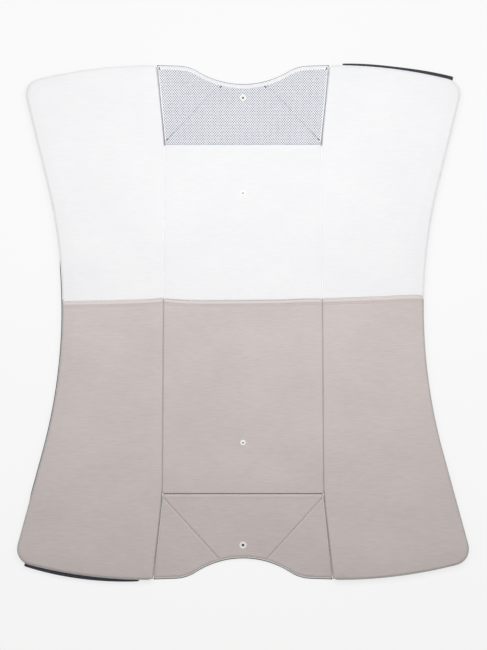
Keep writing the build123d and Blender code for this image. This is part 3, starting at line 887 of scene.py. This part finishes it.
def capsule(name, length, width, height, sides=6):
    """One stitch lying along x, its ends dipping into the cloth."""
    points = []
    for along_x, scale, drop in (
        (-0.5, 0.25, -0.5), (-0.42, 0.8, -0.12), (0, 1.0, 0.1), (0.42, 0.8, -0.12),
        (0.5, 0.25, -0.5),
    ):
        for k in range(sides):
            a = 2 * math.pi * k / sides
            points.append((
                along_x * length * mm, math.cos(a) * width / 2 * scale * mm,
                (math.sin(a) * height / 2 * scale + drop * height) * mm,
            ))
    return new_piece(name, points, [tuple(reversed(f)) for f in loft_faces(5, sides)], [])


def painted(tree, geometry, material):
    """Geometry with a material on it."""
    inputs = {"Geometry": geometry, "Material": material}
    return made_by(tree, "GeometryNodeSetMaterial", inputs)


def units_on(tree, points, unit, rotation):
    """Plain geometry of an object put on each of some points."""
    unit = add_node(tree, "GeometryNodeObjectInfo", {"Object": unit}).outputs["Geometry"]
    inputs = {"Points": points, "Instance": unit, "Rotation": rotation}
    placed = made_by(tree, "GeometryNodeInstanceOnPoints", inputs)
    return made_by(tree, "GeometryNodeRealizeInstances", {"Geometry": placed})


def row_tree():
    """Geometry Nodes: one unit every so often along a path, turned to follow it."""
    tree, given, made = new_tree(
        "row_along_path", "GeometryNodeTree",
        {
            "Path": "Geometry", "Unit": "Object", "Spacing": "Float", "Unevenness": "Float",
            "Seed": "Int", "Material": "Material",
        },
        {"Row": "Geometry"},
    )
    line = made_by(tree, "GeometryNodeMeshToCurve", {"Mesh": given["Path"]})
    inputs = {"Curve": line, "Length": given["Spacing"]}
    even = made_by(tree, "GeometryNodeResampleCurve", inputs, mode="LENGTH")
    tangent = made_by(tree, "GeometryNodeInputTangent")
    turn = made_by(tree, "FunctionNodeAlignRotationToVector", {"Vector": tangent}, axis="X")
    most = given["Unevenness"]
    low, high = (
        made_by(tree, "ShaderNodeCombineXYZ", {"X": reach, "Y": reach})
        for reach in (maths(tree, "MULTIPLY", most, -1.0), most)
    )
    inputs = {"Seed": given["Seed"], 0: low, 1: high}
    jitter = made_by(tree, "FunctionNodeRandomValue", inputs, data_type="FLOAT_VECTOR")
    moved = made_by(tree, "GeometryNodeSetPosition", {"Geometry": even, "Offset": jitter})
    row = painted(tree, units_on(tree, moved, given["Unit"], turn), given["Material"])
    smooth = made_by(tree, "GeometryNodeSetShadeSmooth", {"Geometry": row})
    tree.links.new(smooth, made["Row"])
    return tree


row_along_path = row_tree()


def grown(name, source, tree, values, material):
    """Plain mesh object that a Geometry Nodes tree makes from a source object."""
    modifier = source.modifiers.new("grow", "NODES")
    modifier.node_group = tree
    for item in tree.interface.items_tree:
        if item.item_type == "SOCKET" and item.in_out == "INPUT" and item.name in values:
            modifier[item.identifier] = values[item.name]
    source.update_tag()
    mesh = plain_mesh(source)
    mesh.name = name
    piece = bpy.data.objects.new(name, mesh)
    bpy.context.collection.objects.link(piece)
    if not [m for m in mesh.materials if m]:
        mesh.materials.clear()
        mesh.materials.append(material)
    return piece


def stitch_row(name, lines, body, unit, spacing, uneven, seed, material, slot, *nodes):
    """Row of units along one or more lines of points in millimetres."""
    points, edges = [], []
    for line in lines:
        first = len(points)
        points += [tuple(np.asarray(p) * mm) for p in line]
        edges += [(k, k + 1) for k in range(first, len(points) - 1)]
    mesh = bpy.data.meshes.new(name)
    mesh.from_pydata(points, edges, [])
    path = bpy.data.objects.new(name + "_path", mesh)
    bpy.context.collection.objects.link(path)
    values = {
        "Unit": unit, "Spacing": spacing * mm, "Unevenness": uneven * mm, "Seed": seed,
        "Material": material,
    }
    row = grown(name, path, row_along_path, values, material)
    return fixed(row, body, slot, *nodes)


def resting(piece_name, line, lift):
    """Line of (x, y) in millimetres laid on top of a piece, lifted a little."""
    piece = bpy.data.objects[piece_name].evaluated_get(bpy.context.evaluated_depsgraph_get())
    laid = []
    for x, y in line:
        hit, spot, _, _ = piece.ray_cast((x * mm, y * mm, 0.05), (0, 0, -1))
        if hit and spot.z > 0:
            laid.append((x, y, spot.z / mm + lift))
    return laid


lock_stitch = capsule("lock_stitch", 2.5, 0.5, 0.42)
fine_stitch = capsule("fine_stitch", 1.9, 0.42, 0.36)
stitch_in = 7.9
bpy.context.view_layer.update()
for prefix, low_x, high_x in (
    ("left_wing", -251.5, -seam_x - 2.5), ("centre", 2.5 - seam_x, seam_x - 2.5),
    ("right_wing", seam_x + 2.5, 251.5),
):
    line = [(x, seam_line(x) - stitch_in) for x in np.arange(low_x, high_x, 3.0)]
    stitch_row(
        f"{prefix}_colour_seam_stitches", [resting(f"{prefix}_taupe_top", line, 0.12)], prefix,
        lock_stitch, 3.2, 0.12, 4, taupe_thread, "taupe_plush",
    )

# ---- Zips ----------------------------------------------------------------------------------------
# A coil zip closes the opening that the foam goes in through, at the head end of the right wing
# and the foot end of the left one. Nylon coil and stops on navy tape, enamelled slider and puller.
zip_inner_x = 143.0
zip_outer_x = 300.0
zip_z = 4.6
coil_reach = 1.2
tape_thickness = 0.6
coil_pitch = 1.25
zip_nylon = plain_material("zip_nylon", (0.03, 0.032, 0.05), 0.35, Specular_IOR_Level=0.5)
zip_metal = plain_material("dark_enamel", (0.05, 0.05, 0.07), 0.3, Coat_Weight=0.25)


def worn(material, scale, low, high, bump):
    """Uneven roughness and a fine bump, for moulded and cast pieces."""
    tree = material.node_tree
    inputs = {"Scale": scale, "Detail": 4.0, "Vector": object_place(tree)}
    speckle = add_node(tree, "ShaderNodeTexNoise", inputs).outputs["Fac"]
    spread = add_node(tree, "ShaderNodeMapRange", {"To Min": low, "To Max": high, "Value": speckle})
    shader = tree.nodes["Principled BSDF"]
    tree.links.new(spread.outputs["Result"], shader.inputs["Roughness"])
    bumped(material, speckle, bump, 0.0001)


worn(zip_nylon, 900.0, 0.28, 0.5, 0.2)
worn(zip_metal, 1400.0, 0.2, 0.45, 0.25)


def finish_node(node, material):
    """New finish on a CAD piece that keeps its shape."""
    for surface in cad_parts[node].material_slots:
        surface.material = material


_, _, _, end_centre, end_radius = wing_outline(0.0)
zip_first = math.acos((zip_outer_x - end_centre[0]) / end_radius)
zip_last = math.acos((zip_inner_x - end_centre[0]) / end_radius)


def on_end(radius, angle, side):
    """Point on a wing's end arc: head end of the right wing, foot end of the left."""
    x = end_centre[0] + radius * math.cos(angle)
    y = end_centre[1] + radius * math.sin(angle)
    return side * x, side * y


def facing(piece):
    """Turns the faces of a closed mesh outwards."""
    work = bmesh.new()
    work.from_mesh(piece.data)
    bmesh.ops.remove_doubles(work, verts=work.verts, dist=1e-7)
    bmesh.ops.recalc_face_normals(work, faces=work.faces)
    work.to_mesh(piece.data)
    work.free()


def swept(name, sections, material):
    """Closed mesh through equal closed sections of (x, y, z) in millimetres."""
    sections = np.asarray(sections, float)
    piece = new_piece(
        name, sections.reshape(-1, 3) * mm, loft_faces(*sections.shape[:2]), [material]
    )
    facing(piece)
    return piece


tooth = capsule("coil_tooth", 0.85, 2.2, 2.0, 6)
for v in tooth.data.vertices:
    v.co = (v.co.x, v.co.y * 0.5, v.co.z + 0.0002)
strip_stitch_in = 1.0
for side, prefix in ((1, "right_wing"), (-1, "left_wing")):
    tape_radius = end_radius - 0.8 + tape_thickness
    angles = np.linspace(zip_first + 1.6 / end_radius, zip_last - 1.6 / end_radius, 60)
    line = [(*on_end(tape_radius + coil_reach * 0.45, a, side), zip_z - 0.1) for a in angles]
    stitch_row(
        f"{prefix}_coil_teeth", [line], prefix, tooth, coil_pitch, 0.0, 1, zip_nylon, "zip_coil",
        f"{prefix}_zip_coil",
    )
    for node, material in (
        ("zip_tape_upper", navy_cloth), ("zip_tape_lower", navy_cloth), ("zip_stops", zip_nylon),
        ("zip_slider", zip_metal), ("zip_puller", zip_metal),
    ):
        finish_node(f"{prefix}_{node}", material)
    # Twill strip sewn under the piping, its free edge folded back on itself.
    sections = []
    for t in np.linspace(0, 1, 90):
        angle = zip_first + (zip_last - zip_first) * t
        if side > 0:
            width = 6.9 - 2.7 * t + 0.25 * math.sin(3 * math.pi * t)
        else:
            width = 2.6 + 3.9 * math.sin(math.pi * min(1.0, t * 0.92 + 0.08)) ** 0.6 * (1 - 0.3 * t)
        width *= min(1.0, 0.9 + 12 * min(t, 1 - t))
        sag = 1.1 * width / 4.8
        seat, edge = end_radius - 0.9, end_radius + width
        half_way = (seat + edge) / 2
        shape = [
            (seat, 8.95), (seat + 1.2, 9.0), (half_way, 8.95 - 0.35 * sag), (edge - 0.5, 8.9 - sag),
            (edge, 8.45 - sag), (edge - 0.45, 8.0 - sag), (half_way, 8.05 - 0.4 * sag), (seat, 8.2),
        ]
        sections.append([(*on_end(r, angle, side), z) for r, z in shape])
    strip = swept(f"{prefix}_zip_strip", sections, navy_twill)
    fixed(strip, prefix, "navy_cloth", f"{prefix}_zip_cover")
    angles = np.linspace(zip_first + 0.004, zip_last - 0.004, 60)
    line = [(*on_end(end_radius + strip_stitch_in, a, side), 9.0) for a in angles]
    stitch_row(
        f"{prefix}_zip_strip_stitches", [line], prefix, fine_stitch, 2.6, 0.05, 6, navy_thread,
        "navy_thread",
    )

# ---- Flaps ---------------------------------------------------------------------------------------
# A thin lined flap at each end, hollowed in its end edge: white mesh over a blue-grey lining at
# the head, brushed taupe at the foot. Two diagonal seams join its three pieces of cloth.
flap_face = -0.3
flap_thick = 3.4
flap_root = 0.6
flap_length = 117.0
root_half = 110.7
tip_half = 123.2
scoop_half = 95.0
scoop_depth = 28.0
scoop_radius = 120.0
diagonal_half = 32.0
diagonal_root = 4.0
flap_snap = 70.5
flap_roll = 2.6  # over this a flap's cloth rounds off to its edge
fold_lip = 0.5  # height of the lip beside the foot flap's fold
seam_ridge = 0.18
well_radius = 4.2  # the cloth is cut away round the socket
head_ease = 3.0  # the head flap's cloth has eased out past its pattern
flap_under = flap_thick - flap_face
droop = math.asin(flap_axis_z / math.hypot(flap_length, flap_under))
droop -= math.atan2(flap_under, flap_length)
scoop_turn = 2 * math.atan(scoop_depth / scoop_half)
shoulder = scoop_half / math.sin(scoop_turn) - scoop_radius


def flap_end(x, trim=0.0):
    """Distance from the fold to the end edge of a flap, at x across it."""
    x = np.abs(np.asarray(x, float))
    tip = flap_length - trim
    lead = tip - 1.0
    bottom = lead - scoop_depth
    tip_x = side_x(tip)
    inner = bottom + scoop_radius - np.sqrt(np.maximum(scoop_radius**2 - x**2, 0))
    curve = lead - shoulder + np.sqrt(np.maximum(shoulder**2 - (scoop_half - x) ** 2, 0))
    straight = lead + (x - scoop_half) / (tip_x - scoop_half) * (tip - lead)
    outer = np.where(x < scoop_half, curve, straight)
    return np.where(x < scoop_radius * math.sin(scoop_turn), inner, outer)


def side_x(y):
    """Half width of a flap at y from the fold."""
    return root_half + (tip_half - root_half) * (y - flap_root) / (flap_length - flap_root)


def to_flap(points, end):
    """Millimetre points (across, along, above) of a flap, put in its place."""
    p = np.asarray(points, float)
    x = end * p[:, 0]
    y = end * (fold_y + p[:, 1] * math.cos(droop) + p[:, 2] * math.sin(droop))
    z = flap_axis_z - p[:, 1] * math.sin(droop) + p[:, 2] * math.cos(droop)
    return np.column_stack([x, y, np.maximum(z, 0.02)])


diagonal_head = (root_half, flap_root + diagonal_root)


def stepped_near(length, spot, step):
    """Shares of a length with even 1 mm steps within 7 mm of a spot."""
    shares = stepped(length, step=step)
    close = (np.arange(-7, 7.1, 1.0) + spot) / length
    shares = np.concatenate([shares[np.abs(shares * length - spot) > 8], close])
    return np.unique(np.round(shares, 6))


def flap_grid(part, trim, step):
    """Flat grid of a flap's middle piece, its right or left corner piece, or the whole flap."""
    tip = flap_length - trim
    root = [(-root_half, flap_root), (root_half, flap_root)]
    inner_end = (diagonal_half, float(flap_end(diagonal_half, trim)))
    if part == "middle":
        across = stepped_near(2 * root_half, root_half, step)
        up = stepped_near(88.0, flap_snap - flap_root, step)
        xs = np.linspace(-diagonal_half, diagonal_half, 41)
        right = measured([root[1], diagonal_head, inner_end], up)
    elif part == "whole":
        across, up = stepped(2 * root_half, step=step), stepped(100.0, step=step)
        xs = np.linspace(-1, 1, 241) * side_x(tip)
        right = measured([root[1], (side_x(tip), tip)], up)
    else:
        across, up = stepped(95.0, step=step), stepped(110.0, step=step)
        xs = np.linspace(diagonal_half, side_x(tip), 121)
        right = measured([diagonal_head, (side_x(tip), tip)], up)
    far = measured(np.column_stack([xs, flap_end(xs, trim)]), across)
    if part in ("middle", "whole"):
        return patch(measured(root, across), far, right * [-1, 1], right, across, up)
    near = np.repeat([diagonal_head], len(across), axis=0).astype(float)
    grid = patch(near, far, measured([diagonal_head, inner_end], up), right, across, up)
    return grid if part == "right" else grid[:, ::-1] * [-1, 1]


def slab(name, grid, top_of, bottom_of, material, end):
    """Closed slab on a flap: top and bottom heights come from functions of (points, edge gap)."""
    rows, cols = grid.shape[:2]
    flat = grid.reshape(-1, 2)
    ring = border(rows, cols)
    gap, _, _ = nearest_on(flat[ring], flat)
    top = np.column_stack([flat, top_of(flat, gap)])
    bottom = np.column_stack([flat, bottom_of(flat, gap)])
    faces = sheet_faces(rows, cols)
    for k in range(len(ring)):
        j = (k + 1) % len(ring)
        faces.append((ring[k], ring[k] + len(flat), ring[j] + len(flat), ring[j]))
    piece = new_piece(name, to_flap(np.vstack([top, bottom]), end) * mm, faces, [material])
    facing(piece)
    return piece


def panel_top(points, gap):
    """Upper side of a taupe piece: soft, let down at its seams, with a lip beside the fold."""
    x, y = points.T
    roll = np.clip(gap / flap_roll, 0, 1)
    top = flap_face - 1.3 + 1.25 * (1 - (1 - roll) ** 2.6)
    top += 0.15 * ripple(x * 1.6, y * 1.6, 12) * roll
    top += fold_lip * np.exp(-(((y - 3.4) / 2.0) ** 2)) * roll
    top += seam_ridge * np.exp(-(((gap - 2.9) / 1.1) ** 2))
    off = np.hypot(x, y - flap_snap)
    top -= np.exp(-((off / 8.5) ** 2)) * 0.45
    return np.where(off < well_radius, -1.6, top)


def crease(points, top):
    """Small slack folds beside the fold of the foot flap."""
    x, y = points.T
    return top + 0.12 * np.sin(x / 4.1 + y / 9.0) * np.exp(-((y - 20) / 25.0) ** 2)


def level(height):
    """Even height, as a function of a slab's points and their gaps to its edge."""
    return lambda points, gap: np.full(len(points), height)


for part in ("middle", "left", "right"):
    panel = slab(
        f"foot_flap_{part}_cloth", flap_grid(part, 1.8, 3.2),
        lambda p, g: crease(p, panel_top(p, g)), level(flap_face - 2.25), taupe_plush, -1,
    )
    fixed(panel, "foot_flap", "taupe_plush", f"foot_flap_panel_{part}", fill=0.3)

# Lining and backs.
blue_lining = cloth(
    "blue_grey_lining", crossing_yarns, (0.31, 0.34, 0.49), (0.15, 0.165, 0.265), (1300.0, 1.0),
    (0.85, 0.4, 0.0002, 0.1, 0.25),
)
lining = slab(
    "head_flap_lining", flap_grid("whole", 1.2 - head_ease, 4.0),
    lambda p, g: np.where(np.hypot(p[:, 0], p[:, 1] - flap_snap) < 4.6, -1.9, flap_face - 0.75),
    level(flap_face - 2.25), blue_lining, 1,
)
fixed(lining, "head_flap", "navy_cloth", fill=0.2)
for end, name, ease in ((1, "head_flap", head_ease), (-1, "foot_flap", 0.0)):
    back = slab(
        f"{name}_back_cloth", flap_grid("whole", -0.9 - ease, 4.0), level(flap_face - 2.2),
        lambda p, g: flap_face - flap_thick + 0.6 * np.clip(1 - g / 1.6, 0, 1), navy_cloth, end,
    )
    fixed(back, name, "navy_cloth", f"{name}_back", fill=0.2)

# Net of the head flap: knitted cells with a round hole, cut to each piece and sewn down.
net_cell = 2.4
net_hole = 0.81
net_stretch = 1.24  # cells are longer along the flap
net_thickness = 0.5
net_cells = 122  # cells along each side of the diagonal grid before it is cut
net_middle = (0.0, 0.045, 0.0)
white_net = cloth(
    "white_net", brushed_fibre, (0.95, 0.955, 0.97), (0.88, 0.89, 0.92), (0.3, 0.3),
    (0.8, 0.3, 0.0002, 0.2, 0.3),
)


def net_unit():
    """One cell of the net: a square frame round an eight-sided hole."""
    half = net_cell / 2
    rim = [
        (half, 0), (half, half), (0, half), (-half, half), (-half, 0), (-half, -half), (0, -half),
        (half, -half),
    ]
    turns = [math.pi * k / 4 for k in range(8)]
    levels = (net_thickness / 2, -net_thickness / 2)
    outline = rim + [(net_hole * math.cos(a), net_hole * math.sin(a)) for a in turns]
    points = [(x * mm, y * mm, z * mm) for z in levels for x, y in outline]
    faces = []
    for k in range(8):
        j = (k + 1) % 8
        faces.append((k, j, 8 + j, 8 + k))
        faces.append((16 + j, 16 + k, 24 + k, 24 + j))
        faces.append((8 + k, 8 + j, 24 + j, 24 + k))
    return new_piece("net_cell", points, faces, [])


def net_tree():
    """Geometry Nodes: cells on a diagonal grid, kept and trimmed to the outline of the input."""
    tree, given, made = new_tree(
        "net_cut_to_shape", "GeometryNodeTree",
        {
            "Shape": "Geometry", "Cell": "Object", "Pitch": "Float", "Cells": "Int",
            "Centre": "Vector", "Keep within": "Float", "Material": "Material",
        },
        {"Net": "Geometry"},
    )

    def nearest(spot):
        inputs = {"Geometry": given["Shape"], "Sample Position": spot}
        return add_node(tree, "GeometryNodeProximity", inputs, target_element="FACES").outputs

    count = given["Cells"]
    size = maths(tree, "MULTIPLY", given["Pitch"], maths(tree, "SUBTRACT", count, 1.0))
    inputs = {"Size X": size, "Size Y": size, "Vertices X": count, "Vertices Y": count}
    grid = made_by(tree, "GeometryNodeMeshGrid", inputs)
    slant = (0, 0, math.pi / 4)
    inputs = {"Rotation": slant, "Geometry": grid, "Translation": given["Centre"]}
    turned = made_by(tree, "GeometryNodeTransform", inputs)
    place = made_by(tree, "GeometryNodeInputPosition")
    outside = maths(tree, "GREATER_THAN", nearest(place)["Distance"], given["Keep within"])
    inputs = {"Geometry": turned, "Selection": outside}
    kept = made_by(tree, "GeometryNodeDeleteGeometry", inputs, domain="POINT")
    cells = units_on(tree, kept, given["Cell"], slant)
    # A point outside the shape moves to the nearest place on its edge, and both faces meet there.
    flat = made_by(tree, "ShaderNodeVectorMath", {1: (1, 1, 0), 0: place}, operation="MULTIPLY")
    edge = nearest(flat)
    out = maths(tree, "GREATER_THAN", edge["Distance"], 0.00001)
    inputs = {"Geometry": cells, "Selection": out, "Position": edge["Position"]}
    trimmed = made_by(tree, "GeometryNodeSetPosition", inputs)
    inputs = {"Distance": 0.00005, "Geometry": trimmed}
    merged = made_by(tree, "GeometryNodeMergeByDistance", inputs)
    tree.links.new(painted(tree, merged, given["Material"]), made["Net"])
    return tree


net_cut_to_shape = net_tree()
cell_unit = net_unit()
for part in ("middle", "left", "right"):
    grid = flap_grid(part, 2.2 - head_ease, 4.0) / (1, net_stretch)
    rows, cols = grid.shape[:2]
    flat = grid.reshape(-1, 2)
    outline = np.column_stack([flat, np.zeros(len(flat))]) * mm
    shape = new_piece(f"net_shape_{part}", outline, sheet_faces(rows, cols)[::2], [])
    values = {
        "Cell": cell_unit, "Pitch": net_cell * mm, "Cells": net_cells, "Centre": net_middle,
        "Keep within": net_cell * 0.62 * mm, "Material": white_net,
    }
    net = grown(f"head_flap_{part}_net", shape, net_cut_to_shape, values, white_net)
    place = np.array([v.co for v in net.data.vertices]) / mm
    ring_gap, _, _ = nearest_on(flat[border(rows, cols)], place[:, :2])
    place[:, 1] *= net_stretch
    roll = np.clip(ring_gap / flap_roll, 0, 1)
    off = np.hypot(place[:, 0], place[:, 1] - flap_snap)
    uneven = ripple(place[:, 0] * 1.5, place[:, 1] * 1.5, 8)
    height = flap_face - 0.75 + 0.55 * (1 - (1 - roll) ** 2) + 0.1 * uneven
    height -= 0.3 * np.exp(-((off / 8.0) ** 2))
    place[:, 2] += np.where(off < 4.0, -1.5, height)
    net.data.vertices.foreach_set("co", (to_flap(place, 1) * mm).ravel())
    net.data.update()
    fixed(net, "head_flap", "white_mesh", f"head_flap_mesh_{part}")
bpy.data.objects.remove(cell_unit)

# Bindings: bias tape folded round the free edges, white at the head with a wider white band along
# the end, taupe grey at the foot; each is stitched down.
binding_half = 1.1
white_tape = cloth(
    "white_bias_tape", brushed_fibre, (0.92, 0.925, 0.94), (0.82, 0.83, 0.86), (0.5, 0.3),
    (0.85, 0.3, 0.0002, 0.15, 0.3),
)
taupe_tape = cloth(
    "taupe_bias_tape", crossing_yarns, (0.80, 0.785, 0.77), (0.60, 0.585, 0.57), (1300.0, 1.0),
    (0.85, 0.4, 0.0002, 0.1, 0.25),
)


def free_edge(inset, ease):
    """Free edge of a flap pulled in: out along one side, across the end and back to the fold."""
    tip = flap_length - inset + ease
    half = [(side_x(y) - inset, y) for y in np.linspace(flap_root + 0.8, tip - 1.2, 45)]
    xs = np.linspace(side_x(tip) - inset - 0.8, 0, 80)
    half += [(x, float(flap_end(x, inset - ease))) for x in xs]
    return half + [(-x, y) for x, y in reversed(half[:-1])]


def above_flap(line, height, end):
    """Flat line of a flap put at a height above its middle plane and in its place."""
    return to_flap([(x, y, height) for x, y in line], end)


for end, name, ease, tape, sewing, slot in (
    (1, "head_flap", head_ease, white_tape, white_thread, "white_mesh"),
    (-1, "foot_flap", 0.0, taupe_tape, taupe_thread, "grey_piping"),
):
    path = above_flap(free_edge(binding_half, ease), flap_face - 1.75, end)
    binding = tube(f"{name}_edge_tape", path, binding_half, tape, squeeze=1.5)
    facing(binding)
    fixed(binding, name, slot, f"{name}_binding")
    line = above_flap(free_edge(2.4, ease), flap_face - 0.1, end)
    stitch_row(f"{name}_edge_stitches", [line], name, fine_stitch, 2.6, 0.06, 8, sewing, slot)

band_out, band_in = 1.6 - head_ease, 6.2 - head_ease
across = stepped(250.0, step=4.0)
up = np.array([0, 0.07, 0.2, 0.4, 0.6, 0.8, 0.93, 1])
edges = []
for inset in (band_in, band_out):
    xs = np.linspace(-1, 1, 241) * (side_x(flap_length - band_in) - 2.0)
    edges.append(measured(np.column_stack([xs, flap_end(xs, inset)]), across))
sides = [edges[0][k] * (1 - up)[:, None] + edges[1][k] * up[:, None] for k in (0, -1)]
band = slab(
    "head_flap_end_band", patch(edges[0], edges[1], sides[0], sides[1], across, up),
    lambda p, g: flap_face - 0.5 + 0.7 * (1 - (1 - np.clip(g / 1.6, 0, 1)) ** 2),
    level(flap_face - 0.9), white_tape, 1,
)
fixed(band, "head_flap", "white_mesh")

# Diagonal seams of the net, sewn in blue-grey, and satin-stitched tacks where seams end.
blue_thread = thread("blue_grey_thread", (0.22, 0.24, 0.35), (0.10, 0.11, 0.17))
seams = []
for half in (1, -1):
    line = [(half * diagonal_head[0], diagonal_head[1]), (half * diagonal_half, flap_length - 31.5)]
    seams.append(above_flap(line, flap_face - 0.35, 1))
stitch_row(
    "head_flap_diagonal_stitches", seams, "head_flap", fine_stitch, 2.3, 0.05, 2, blue_thread,
    "navy_thread",
)
tack_stitch = capsule("tack_stitch", 1.5, 0.42, 0.36)
for v in tack_stitch.data.vertices:
    v.co = (-v.co.y, v.co.x, v.co.z)
tack_half = 1.7
tacks = []
for half in (1, -1):
    for x, y, turn in (
        (107.7, 7.6, 137), (32.0, 84.0 + head_ease, 137), (120.4, 111.8 + head_ease, 84),
    ):
        turn = math.radians(turn)
        dx, dy = math.cos(turn) * tack_half, math.sin(turn) * tack_half
        line = [(half * (x - dx), y - dy), (half * (x + dx), y + dy)]
        tacks.append(above_flap(line, flap_face + 0.22, 1))
stitch_row(
    "head_flap_tack_stitches", tacks, "head_flap", tack_stitch, 0.4, 0.02, 3, navy_thread,
    "navy_thread", "head_flap_bar_tacks",
)

# ---- Ring snaps ----------------------------------------------------------------------------------
# Moulded snaps: a white hollow stud on the centre and a white socket through each flap, each held
# by a dark disc behind the cloth, whose stem shows in the middle.
snap_white = plain_material("snap_white", (0.93, 0.925, 0.915), 0.3, Coat_Weight=0.2)
snap_dark = plain_material("snap_dark", (0.04, 0.04, 0.055), 0.35)
worn(snap_white, 700.0, 0.22, 0.42, 0.15)
worn(snap_dark, 700.0, 0.28, 0.5, 0.2)
for end_name in ("head", "foot"):
    for node in ("stud", "flap_socket"):
        finish_node(f"{end_name}_{node}", snap_white)
    for node in ("stud_disc", "flap_socket_cap"):
        finish_node(f"{end_name}_{node}", snap_dark)
stem_sides = 20


def stem(name, body, radius, low, high, place_of):
    """Round stem with a domed end, standing in the bore of a snap."""
    sections = []
    for scale, level in ((1.0, low), (1.0, high - 0.25), (0.8, high - 0.08), (0.45, high)):
        ring = [
            (radius * scale * math.cos(a), radius * scale * math.sin(a), level)
            for a in np.arange(stem_sides) * 2 * math.pi / stem_sides
        ]
        sections.append(place_of(ring))
    fixed(swept(name, sections, snap_dark), body, "snap_back")


for end, name in ((1, "head"), (-1, "foot")):
    stem(
        f"{name}_stud_stem", "centre", 0.97, 11.9, 14.7,
        lambda ring: [(x, y + end * snap_y, z) for x, y, z in ring],
    )
    stem(
        f"{name}_socket_stem", f"{name}_flap", 1.7, flap_face - flap_thick, -1.1,
        lambda ring: to_flap([(x, y + flap_snap, z) for x, y, z in ring], end),
    )

for unit in (lock_stitch, fine_stitch, tack_stitch, tooth):
    bpy.data.objects.remove(unit)
